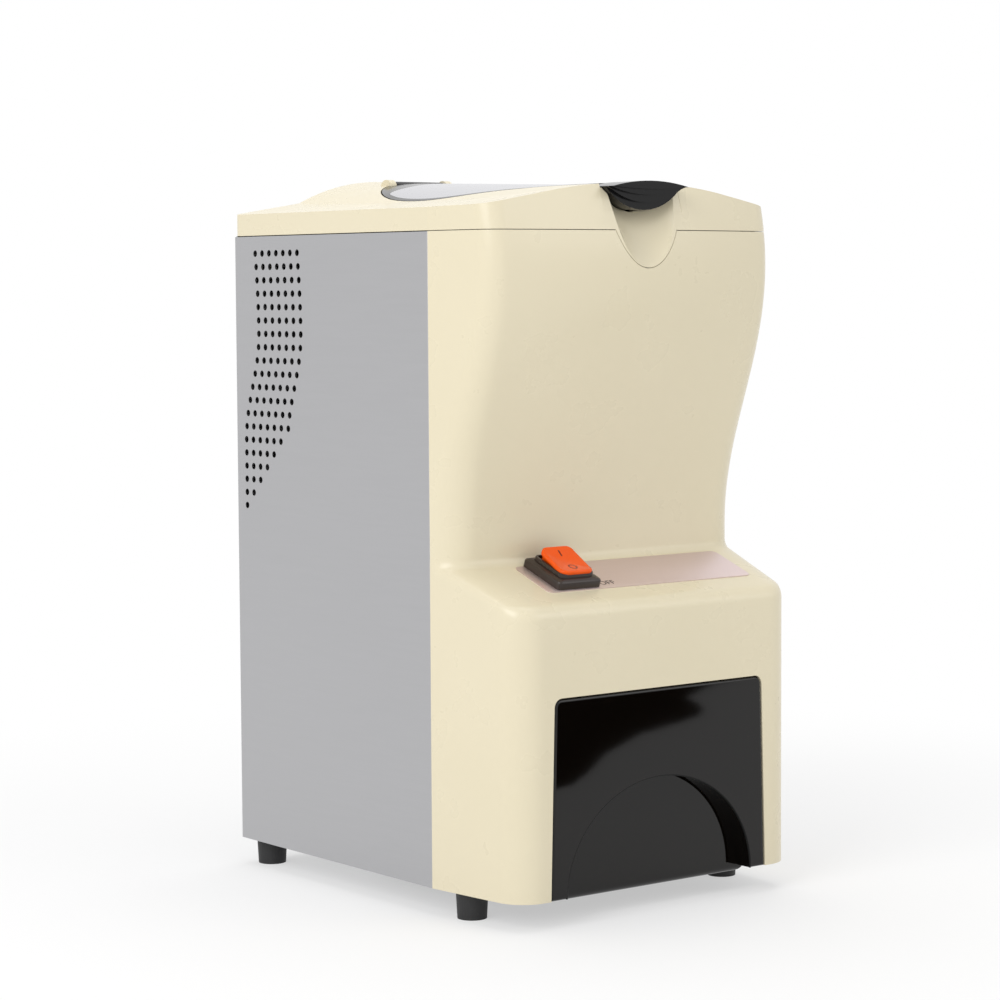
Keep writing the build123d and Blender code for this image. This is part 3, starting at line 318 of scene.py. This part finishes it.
# ------------------------------------------------------------------ moulded front
# all in millimetres: x across, y towards the rear, z up
SIDE_X, SIDE_DRAFT, WALL = 118.0, 8.0, 3.0
SEAM_Y, NOSE_Y, BASE_Z, SEAM_Z = -69.0, -146.0, 17.0, 416.55
SHELF_Y, SHELF_Z, SHELF_SLOPE = -110.0, 205.6, math.radians(20.0)
FRONT_ROUND, ROOT_ROUND = 10.0, 7.0
WAIST_Y, WAIST_Z, BROW_Y, BROW_Z = -86.5, 230.0, -123.5, 396.0
WAIST_BOW, BROW_BOW, WAIST_CORNER, BROW_CORNER = 1.0, 12.0, 22.0, 15.0
MOUTH_X, MOUTH_FOOT_X, MOUTH_TOP, MOUTH_CORNER = 83.6, 86.85, 138.6, 5.6
WINDOW_X, WINDOW_Z, WINDOW_DROP = 32.4, 460.0, 66.4
SCOOP_RADIUS, SCOOP_Y, SCOOP_Z, SCOOP_SLANT = 31.0, -135.0, 395.0, math.asin(31.0 / 65.0)
STRAKE_RADIUS, STRAKE_Z = 39.14, 468.14
CHANNEL_X, CHANNEL_Y, CHANNEL_Z, CHANNEL_HEIGHT = 30.85, -112.6, 428.0, 14.2
SWITCH_X, SWITCH_V, OPENING_X, OPENING_V = -47.5, 2.0, 12.0, 15.5
LABEL_X, LABEL_V, LABEL_TOP = 82.0, 18.75, 0.6


def side_x(y):
    """Half width of the moulded front at this y."""
    return SIDE_X - SIDE_DRAFT * (SEAM_Y - y) / (SEAM_Y - NOSE_Y)


def swell(z):
    """How far the brow has come forward at this height: 0 at the waist, 1 where it stands out most."""
    return (1 - math.cos(math.pi * max(0.0, z - WAIST_Z) / (BROW_Z - WAIST_Z))) / 2


def brow(ease):
    """Face line and bow of the brow where it has come forward by this share."""
    return WAIST_Y + (BROW_Y - WAIST_Y) * ease, WAIST_BOW + (BROW_BOW - WAIST_BOW) * ease


def plan(front_y, bow, corner):
    """Half plan of the front at one height, from the middle of its face round the corner to the seam."""
    half = side_x(front_y)
    lean = math.atan2(SIDE_DRAFT, SEAM_Y - NOSE_Y)
    outward = Vector((math.cos(lean), -math.sin(lean)))

    def face(x):
        return Vector((x, front_y - bow * (1 - (x / half) ** 2)))

    def normal(x):
        return Vector((2 * bow * x / half ** 2, -1)).normalized()

    low, high = half - 3 * corner, half
    for _ in range(40):
        x = (low + high) / 2
        centre = face(x) - corner * normal(x)
        room = (Vector((side_x(centre.y), centre.y)) - centre).dot(outward)
        low, high = (x, high) if room > corner else (low, x)
    line = [face(x * i / 40) for i in range(41)]
    start, end = math.atan2(normal(x).y, normal(x).x), -lean
    line += [centre + corner * Vector((math.cos(a), math.sin(a)))
             for a in (start + (end - start) * i / 40 for i in range(1, 41))]
    line.append(Vector((side_x(SEAM_Y + 60), SEAM_Y + 60)))
    kept = [p for p in line if p.y < SEAM_Y]
    after = line[len(kept)]
    kept.append(kept[-1].lerp(after, (SEAM_Y - kept[-1].y) / (after.y - kept[-1].y)))
    return evenly(kept, 72)


def evenly(line, count):
    """The same line with its points at even steps."""
    lengths = [0.0]
    for first, second in zip(line, line[1:]):
        lengths.append(lengths[-1] + (second - first).length)
    points, at = [], 0
    for i in range(count):
        goal = lengths[-1] * i / (count - 1)
        while at < len(line) - 2 and lengths[at + 1] < goal:
            at += 1
        points.append(line[at].lerp(line[at + 1], (goal - lengths[at]) / (lengths[at + 1] - lengths[at])))
    return points


def front_profile():
    """Stations up the front: face line, height, bow and corner radius."""
    tan = math.tan(SHELF_SLOPE)
    turn = math.pi / 2 - SHELF_SLOPE
    edge_z = SHELF_Z + (NOSE_Y - SHELF_Y) * tan
    reach = FRONT_ROUND * math.tan(turn / 2)
    stations = [(NOSE_Y, BASE_Z + (edge_z - reach - BASE_Z) * i / 10) for i in range(11)]
    for i in range(1, 11):
        a = turn * i / 10
        stations.append((NOSE_Y + FRONT_ROUND * (1 - math.cos(a)),
                         edge_z - reach + FRONT_ROUND * math.sin(a)))
    root_z = SHELF_Z + (WAIST_Y - SHELF_Y) * tan
    reach = ROOT_ROUND * math.tan(turn / 2)
    start = (WAIST_Y - reach * math.cos(SHELF_SLOPE), root_z - reach * math.sin(SHELF_SLOPE))
    first = stations[-1]
    stations += [(first[0] + (start[0] - first[0]) * i / 12, first[1] + (start[1] - first[1]) * i / 12)
                 for i in range(1, 13)]
    for i in range(1, 9):
        a = turn * (1 - i / 8)
        stations.append((WAIST_Y - ROOT_ROUND * (1 - math.cos(a)), root_z + reach - ROOT_ROUND * math.sin(a)))
    full = [(y, z, 0.0 if y < -130 else (y + 130) / 43.5, 20.0 + 2.0 * max(0.0, (y + 146) / 59.5))
            for y, z in stations]
    low = stations[-1][1]
    for i in range(1, 49):
        z = low + (SEAM_Z - low) * i / 48
        y, bow = brow(swell(z))
        full.append((y, z, bow, WAIST_CORNER + (BROW_CORNER - WAIST_CORNER) * swell(z)))
    return full


def block(name, outline, low, high, place):
    """A cutting solid: an outline between two depths, put in its place."""
    return shell(name, *stack([[place(x, y, depth) for x, y in outline] for depth in (low, high)]), None)


rows = []
for y, z, bow, corner in front_profile():
    half = plan(y, bow, corner)
    rows.append([(p.x, p.y, z) for p in reversed(half)] + [(-p.x, p.y, z) for p in half[1:]])
width = len(rows[0])
nose = shell("moulded_front", [p for row in rows for p in row],
             [(r * width + i, r * width + i + 1, (r + 1) * width + i + 1, (r + 1) * width + i)
              for r in range(len(rows) - 1) for i in range(width - 1)], cream)
middle = nose.data.polygons[width // 2]
if middle.normal.y > 0:
    nose.data.flip_normals()
wall = nose.modifiers.new("wall", "SOLIDIFY")
wall.thickness = WALL * MM
wall.offset = -1.0
bake(nose)

mouth = [(-MOUTH_FOOT_X, 10.0), (MOUTH_FOOT_X, 10.0)]
for side in (1, -1):
    for i in range(7):
        a = math.pi / 2 * (i / 6 if side > 0 else 1 - i / 6)
        mouth.append((side * (MOUTH_X - MOUTH_CORNER + MOUTH_CORNER * math.cos(a)),
                      MOUTH_TOP - MOUTH_CORNER + MOUTH_CORNER * math.sin(a)))
window = [(WINDOW_X * math.cos(a), WINDOW_Z + WINDOW_DROP * math.sin(a))
          for a in (math.tau * i / 96 for i in range(96))]


def sloped(origin, slope):
    """A frame on a slope: where it starts, its way up and what stands square on it."""
    rise, lift = (math.cos(slope), math.sin(slope)), (-math.sin(slope), math.cos(slope))
    return origin, Vector((0, *rise)), Vector((0, *lift))


shelf = sloped(Vector((0, SHELF_Y, SHELF_Z)), SHELF_SLOPE)


def on_shelf(x, along, above, frame_of=shelf):
    """A point given across the shelf, up its slope and above it."""
    origin, rise, lift = frame_of
    return origin + Vector((x, 0, 0)) + along * rise + above * lift


cut(nose,
    block("mouth_tool", mouth, -170.0, -118.0, lambda x, z, y: (x, y, z)),
    block("window_tool", window, -170.0, -100.0, lambda x, z, y: (x, y, z)),
    block("switch_tool", rounded(OPENING_X, OPENING_V, 0.5, 2), -12.0, 12.0,
          lambda x, v, w: on_shelf(SWITCH_X + x, v + SWITCH_V, w)))
settle(nose, "cabinet", "cream_moulding", "front_panel", bend=40)

# the channel's sides beside the grip carry the scoop's hollow on up to the crown
def shoulder(side):
    """Fills the lid channel beside the grip, outside the scoop's slanting cylinder and under the strakes."""
    rings = []
    for i in range(13):
        z = CHANNEL_Z + CHANNEL_HEIGHT * i / 12
        face_y, bow = brow(swell(z))
        front = face_y - bow * 0.93 + 0.2
        under_strakes = math.sqrt(max(STRAKE_RADIUS ** 2 - (STRAKE_Z - z) ** 2, 0)) + 0.5
        middle_y = SCOOP_Y - SCOOP_RADIUS / math.cos(SCOOP_SLANT) + (z - SCOOP_Z) * math.tan(SCOOP_SLANT)
        ring = [(CHANNEL_X, CHANNEL_Y)]
        for j in range(13):
            y = CHANNEL_Y + (front - CHANNEL_Y) * j / 12
            reach = 1 - ((y - middle_y) * math.cos(SCOOP_SLANT) / SCOOP_RADIUS) ** 2
            hollow = max(SCOOP_RADIUS * math.sqrt(max(reach, 0)), under_strakes)
            ring.append((min(hollow, CHANNEL_X - 0.05), y))
        ring.append((CHANNEL_X, front))
        rings.append([(side * x, y, z) for x, y in ring])
    return shell("scoop_shoulder_" + ("left" if side < 0 else "right"), *stack(rings), cream)


for side in (-1, 1):
    settle(shoulder(side), "cabinet", "cream_moulding")


# ------------------------------------------------------------------ perforated steel sides
def vent_graph():
    """Bores the vent rows through both sides at once, and clears the screws and the base tray."""
    group = bpy.data.node_groups.new("vents", "GeometryNodeTree")
    group.interface.new_socket("Geometry", in_out="INPUT", socket_type="NodeSocketGeometry")
    for name, kind, value in (("Rows", "Int", 20), ("Columns", "Int", 7), ("Hole radius", "Float", 0.00215),
                              ("Pitch along", "Float", 0.00815), ("Pitch down", "Float", 0.00869),
                              ("Top", "Float", 0.4053), ("Edge", "Float", 0.1335), ("Lean", "Float", 0.0162)):
        socket = group.interface.new_socket(name, in_out="INPUT", socket_type="NodeSocket" + kind)
        socket.default_value = value
    group.interface.new_socket("Geometry", in_out="OUTPUT", socket_type="NodeSocketGeometry")
    graph = Graph(group)
    given = graph.node("NodeGroupInput")
    index = graph.node("GeometryNodeInputIndex")["Index"]
    row = Wire.sum(index, "FLOOR", index / given["Columns"])
    column = index - row * given["Columns"]
    below = graph.node("FunctionNodeCompare", {"operation": "GREATER_THAN"}, {0: row, 1: 6.0})["Result"]
    fade = graph.node("GeometryNodeSwitch", {"input_type": "FLOAT"},
                      {"Switch": below, "False": 20.0, "True": 8.0})
    away = Wire.sum(row, "MINIMUM", Wire.sum(row, "ABSOLUTE", row - 6.0) / fade["Output"], 1.0)
    lean = Wire.sum(row, "COSINE", math.pi / 2 * away)
    along = given["Edge"] - given["Lean"] * lean * lean - column * given["Pitch along"]
    place = graph.node("ShaderNodeCombineXYZ", None,
                       {"X": 0.0, "Y": along, "Z": given["Top"] - row * given["Pitch down"]})["Vector"]
    spots = graph.node("GeometryNodePoints", None,
                       {"Count": given["Rows"] * given["Columns"], "Position": place})
    missing = graph.node("FunctionNodeCompare", {"operation": "GREATER_EQUAL"},
                         {0: column, 1: given["Rows"] - row})["Result"]
    kept = graph.node("GeometryNodeDeleteGeometry", {"domain": "POINT"},
                      {"Geometry": spots["Points"], "Selection": missing})["Geometry"]
    punch = graph.node("GeometryNodeMeshCylinder", None,
                       {"Vertices": 28, "Radius": given["Hole radius"], "Depth": 0.26})["Mesh"]
    holes = graph.node("GeometryNodeInstanceOnPoints", None,
                       {"Points": kept, "Instance": punch, "Rotation": (0, math.pi / 2, 0)})["Instances"]
    left = graph.node("GeometryNodeMeshLine", None,
                      {"Count": 3, "Start Location": (-0.111, 0.1455, 0.058),
                       "Offset": (0, 0, 0.159)})["Mesh"]
    right = graph.node("GeometryNodeTransform", None,
                       {"Geometry": left, "Translation": (0.222, 0, 0)})["Geometry"]
    screws = graph.node("GeometryNodeJoinGeometry", None, {"Geometry": [left, right]})["Geometry"]
    drill = graph.node("GeometryNodeMeshCylinder", None,
                       {"Vertices": 32, "Radius": 0.00325, "Depth": 0.006})["Mesh"]
    seats = graph.node("GeometryNodeInstanceOnPoints", None,
                       {"Points": screws, "Instance": drill, "Rotation": (math.pi / 2, 0, 0)})["Instances"]
    bar = graph.node("GeometryNodeMeshCube", None, {"Size": (0.2336, 0.003, 0.006)})["Mesh"]
    tray = graph.node("GeometryNodeTransform", None,
                      {"Geometry": bar, "Translation": (0, -0.0684, 0.0161)})["Geometry"]
    joined = graph.node("GeometryNodeJoinGeometry", None, {"Geometry": [holes, seats, tray]})["Geometry"]
    tools = graph.node("GeometryNodeRealizeInstances", None, {"Geometry": joined})["Geometry"]
    bored = graph.node("GeometryNodeMeshBoolean", {"operation": "DIFFERENCE", "solver": "EXACT"},
                       {"Mesh 1": given["Geometry"], "Mesh 2": tools})["Mesh"]
    dressed = graph.node("GeometryNodeSetMaterial", None, {"Geometry": bored, "Material": steel})["Geometry"]
    graph.node("NodeGroupOutput", None, {"Geometry": dressed})
    return group


sheet = [(118.0, -68.4), (117.4, -69.0), (106.0, -69.0), (106.0, -67.8), (116.8, -67.8), (116.8, 144.8),
         (106.0, 144.8), (106.0, 146.0), (116.0, 146.0), (117.0, 145.73), (117.73, 145.0), (118.0, 144.0)]
points, faces = [], []
for side in (-1, 1):
    ring_points, ring_faces = stack([[(side * x, y, z) for x, y in sheet] for z in (17.0, 416.4)])
    faces += [tuple(len(points) + i for i in face) for face in ring_faces]
    points += ring_points
sides = shell("steel_sides", points, faces, steel)
vents = sides.modifiers.new("vents", "NODES")
vents.node_group = vent_graph()
for socket in vents.node_group.interface.items_tree:
    if socket.in_out == "INPUT" and socket.socket_type != "NodeSocketGeometry":
        vents[socket.identifier] = socket.default_value
bake(sides)
settle(sides, "cabinet", "steel_sheet", "left_side_panel", "right_side_panel", bend=30)


# ------------------------------------------------------------------ drawer
# a fine rounded bead runs along the edge of the arch
rings = []
for i in range(73):
    a = math.pi * i / 72
    foot = 0.0 if 0 < i < 72 else 0.01
    centre = Vector((74.3 * math.cos(a), -145.35, 17.0 + 66.8 * math.sin(a) + foot))
    out = Vector((math.cos(a) / 74.3, 0, math.sin(a) / 66.8)).normalized()
    rings.append([centre + 0.6 * (math.cos(b) * out + math.sin(b) * Vector((0, 1, 0)))
                  for b in (math.tau * j / 10 for j in range(10))])
settle(shell("arch_bead", *stack(rings), bead), "drawer", "smoked_plastic")


# ------------------------------------------------------------------ switch and its label
def solid_on(name, levels, finish, middle=(SWITCH_X, SWITCH_V)):
    """A solid over the shelf from (half x, half length, corner, height) levels, lowest first."""
    rings = [[on_shelf(middle[0] + x, middle[1] + v, w) for x, v in rounded(hx, hv, r)]
             for hx, hv, r, w in levels]
    return shell(name, *stack(rings), finish)


plate = solid_on("label", [(LABEL_X, LABEL_V, 4.0, 0.02), (LABEL_X, LABEL_V, 4.0, LABEL_TOP - 0.05),
                           (LABEL_X - 0.2, LABEL_V - 0.2, 3.8, LABEL_TOP)], foil, middle=(10.0, 0.6))
cut(plate, solid_on("label_tool", [(OPENING_X, OPENING_V, 0.5, w) for w in (-3.0, 3.0)], None))
settle(plate, "cabinet", "label_foil", "label_plate")

collar = [(11.9, 15.4, 0.5, -3.0), (11.9, 15.4, 0.5, 0.62), (16.8, 18.8, 2.6, 0.62),
          (16.8, 18.8, 2.6, 4.6), (16.4, 18.4, 2.6, 5.4), (14.2, 16.6, 2.6, 6.4),
          (13.0, 15.2, 3.4, 6.6), (12.8, 15.0, 3.4, 8.6), (12.5, 14.7, 3.2, 8.9)]
bezel = solid_on("switch_frame", collar, brown)
cut(bezel, solid_on("opening_tool", [(11.2, 13.8, 2.4, -2.0), (11.2, 13.8, 2.4, 12.0)], None))
settle(bezel, "cabinet", "brown_plastic", "switch_bezel")

rocker_frame = sloped(on_shelf(0, SWITCH_V, 2.4), SHELF_SLOPE + math.radians(10.0))


def paddle_top(v):
    """Height of the rocker's dished face above its pivot."""
    return 8.6 + 2.5 * (math.sqrt(v * v + 9.0) - 3.0) / 11.0


rings = []
for hx, hv, r, w in ((10.4, 11.6, 2.0, -1.2), (10.4, 11.6, 2.0, 6.2), (12.2, 13.7, 4.6, 6.4)):
    rings.append([on_shelf(SWITCH_X + x, v, w if w < 6.3 else paddle_top(v) - 2.6, rocker_frame)
                  for x, v in rounded(hx, hv, r)])
for inset, drop in ((0.0, 1.1), (0.12, 0.6), (0.4, 0.25), (0.8, 0.06), (1.3, 0.0)):
    rings.append([on_shelf(SWITCH_X + x, v, paddle_top(v) - drop, rocker_frame)
                  for x, v in rounded(12.2 - inset, 13.7 - inset, 4.6 - inset / 2)])
for k in range(1, 12):
    share = 1 - k / 12
    rings.append([on_shelf(SWITCH_X + x, v, paddle_top(v) - 0.3 * (1 - share), rocker_frame)
                  for x, v in rounded(10.9 * share, 12.4 * share, 3.95 * share)])
settle(shell("rocker_paddle", *stack(rings), orange), "rocker", "orange_plastic", "switch_rocker", bend=50)


def mark(name, pairs, finish, height, frame_of, body, closed):
    """A thin printed mark between two lines of points that face each other."""
    under = [[on_shelf(x, v, height(x, v) - 0.3, frame_of) for x, v in pair] for pair in pairs]
    over = [[on_shelf(x, v, height(x, v) + 0.05, frame_of) for x, v in pair] for pair in pairs]
    rings = [[low[0], high[0], high[1], low[1]] for low, high in zip(under, over)]
    points, faces = stack(rings + rings[:1] if closed else rings)
    if closed:
        faces = faces[:-2]
    settle(shell(name, points, faces, finish), body, "orange_plastic")


def face_of_paddle(x, v):
    share = max(abs(x - SWITCH_X) / 10.9, abs(v) / 12.4)
    return paddle_top(v) - 0.3 * (1 - share)


mark("mark_on", [((SWITCH_X - 0.5, v), (SWITCH_X + 0.5, v)) for v in (5.4, 6.6, 7.8, 9.0, 10.0)], dark_red,
     face_of_paddle, rocker_frame, "rocker", False)
circle = [(math.cos(a), math.sin(a)) for a in (math.tau * i / 32 for i in range(32))]
loop = [((SWITCH_X + 1.9 * c, -6.6 + 2.3 * d), (SWITCH_X + 2.8 * c, -6.6 + 3.2 * d)) for c, d in circle]
mark("mark_off", loop, dark_red, face_of_paddle, rocker_frame, "rocker", True)


def lettering(name, text, size, x, along):
    """Generic lettering printed on the label."""
    curve = bpy.data.curves.new(name, "FONT")
    curve.body = text
    curve.size = size
    curve.extrude = 0.05
    carrier = bpy.data.objects.new(name, curve)
    bpy.context.collection.objects.link(carrier)
    bpy.context.view_layer.update()
    mesh = bpy.data.meshes.new_from_object(carrier.evaluated_get(bpy.context.evaluated_depsgraph_get()))
    bpy.data.objects.remove(carrier)
    for point in mesh.vertices:
        point.co = on_shelf(x + point.co.x, along + point.co.y, LABEL_TOP + point.co.z) * MM
    mesh.materials.clear()
    mesh.materials.append(ink)
    thing = bpy.data.objects.new(name, mesh)
    bpy.context.collection.objects.link(thing)
    settle(thing, "cabinet", "label_foil")


lettering("letters_off", "OFF", 7.0, -28.5, -14.0)
lettering("letters_on", "ON", 7.0, -28.5, 9.5)


# ------------------------------------------------------------------ floor, light and camera
def seen_by(graph, *kinds):
    """1 for these kinds of rays, otherwise 0."""
    rays = graph.node("ShaderNodeLightPath")
    seen = rays[kinds[0]]
    for kind in kinds[1:]:
        seen = seen.sum("MAXIMUM", seen, rays[kind])
    return seen


def floor_paint(clear, near, far):
    """White paint that looks white to the eye and in gloss; near the object its own shadows show through."""
    finish = Finish("floor_paint", (0.9, 0.9, 0.9, 1), Roughness=0.9)
    seen = seen_by(finish, "Is Camera Ray", "Is Glossy Ray")
    reach = finish.node("ShaderNodeVectorMath", {"operation": "LENGTH"}, {0: finish.place})["Value"]
    open_floor = finish.node("ShaderNodeMapRange", {"interpolation_type": "SMOOTHSTEP"},
                             {"Value": reach, "From Min": near, "From Max": far,
                              "To Min": clear, "To Max": 1.0})["Result"]
    white = finish.tree.nodes.new("ShaderNodeEmission")
    mix = finish.tree.nodes.new("ShaderNodeMixShader")
    finish.tree.links.new((seen * open_floor).socket, mix.inputs[0])
    finish.tree.links.new(finish.shader.outputs[0], mix.inputs[1])
    finish.tree.links.new(white.outputs[0], mix.inputs[2])
    finish.tree.links.new(mix.outputs[0], finish.tree.nodes["Material Output"].inputs["Surface"])
    return finish


floor_finish = floor_paint(0.5, 0.25, 0.8)
cloth_finish = Finish("cloth_black", (0.002, 0.002, 0.002, 1), Roughness=1.0, Specular_IOR_Level=0)
floor_mesh = bpy.data.meshes.new("floor")
floor_mesh.from_pydata([(-6, -6, 0), (6, -6, 0), (6, 6, 0), (-6, 6, 0)], [], [(0, 1, 2, 3)])
floor_mesh.materials.append(floor_finish.material)
floor = bpy.data.objects.new("floor", floor_mesh)
bpy.context.collection.objects.link(floor)

# a dark cloth on the studio floor beside the camera, which only gloss shows: the drawer's dark reflection
camera_at = Vector((-1.1459, -1.4657, 0.3839))
dark_patch = ((-110, 78), (-84, 84), (-70, 85.5), (-58, 91.5), (-44, 101.5), (-16, 111),
              (17, 115), (31, 117.5), (34.5, 121.5), (29, 126), (21, 129.5), (31, 133),
              (43, 136.5), (59, 138), (75, 150), (-110, 150))
cloth_points = []
for x, z in dark_patch:
    glass = Vector((x, NOSE_Y, z)) * MM
    ray = glass - camera_at
    ray.y = -ray.y
    cloth_points.append(tuple((glass - ray * (glass.z / ray.z)) / MM + Vector((0, 0, 0.5))))
cloth = shell("dark_cloth", cloth_points, [tuple(range(len(cloth_points)))], cloth_finish.material)
cloth.visible_camera = cloth.visible_diffuse = cloth.visible_shadow = cloth.visible_transmission = False

world = bpy.data.worlds.new("studio")
bpy.context.scene.world = world
world.use_nodes = True
sky = Graph(world.node_tree)
backdrop = sky.tree.nodes["Background"]
backdrop.inputs["Color"].default_value = (1, 1, 1, 1)
white_for = seen_by(sky, "Is Camera Ray", "Is Glossy Ray", "Is Transmission Ray")
level = sky.node("ShaderNodeMapRange", None, {"Value": white_for, "To Min": 0.62, "To Max": 1.0})["Result"]
sky.tree.links.new(level.socket, backdrop.inputs["Strength"])


def soft_box(name, place, target, width, height, power):
    lamp = bpy.data.lights.new(name, "AREA")
    lamp.shape = "RECTANGLE"
    lamp.size = width
    lamp.size_y = height
    lamp.energy = power
    thing = bpy.data.objects.new(name, lamp)
    thing.location = place
    thing.rotation_euler = (Vector(target) - Vector(place)).to_track_quat("-Z", "Y").to_euler()
    bpy.context.collection.objects.link(thing)
    return thing


soft_box("key", (-2.1, -0.7, 1.5), (0, 0, 0.25), 1.4, 1.4, 26)
soft_box("fill", (1.2, -2.0, 1.3), (0, 0, 0.2), 1.4, 1.2, 7)
soft_box("top", (0.2, 0.3, 2.2), (0, 0, 0.3), 1.6, 1.6, 14)

# the photograph's camera: its place, its turn about the upright, its tilt and its roll
turn, tilt, roll = (math.radians(a) for a in (-37.76, 4.27, -0.33))
back = Vector((math.sin(turn) * math.cos(tilt), -math.cos(turn) * math.cos(tilt), math.sin(tilt)))
right = Vector((0, 0, 1)).cross(back).normalized()
up = back.cross(right)
right, up = (math.cos(roll) * right + math.sin(roll) * up, math.cos(roll) * up - math.sin(roll) * right)
eye = bpy.data.cameras.new("camera")
eye.sensor_width = 36
eye.lens = 103.59
eye.clip_end = 60
camera = bpy.data.objects.new("camera", eye)
camera.matrix_world = (Matrix((right, up, back)).transposed().to_4x4())
camera.location = camera_at
bpy.context.collection.objects.link(camera)
bpy.context.scene.camera = camera
bpy.context.scene.view_settings.view_transform = "Standard"
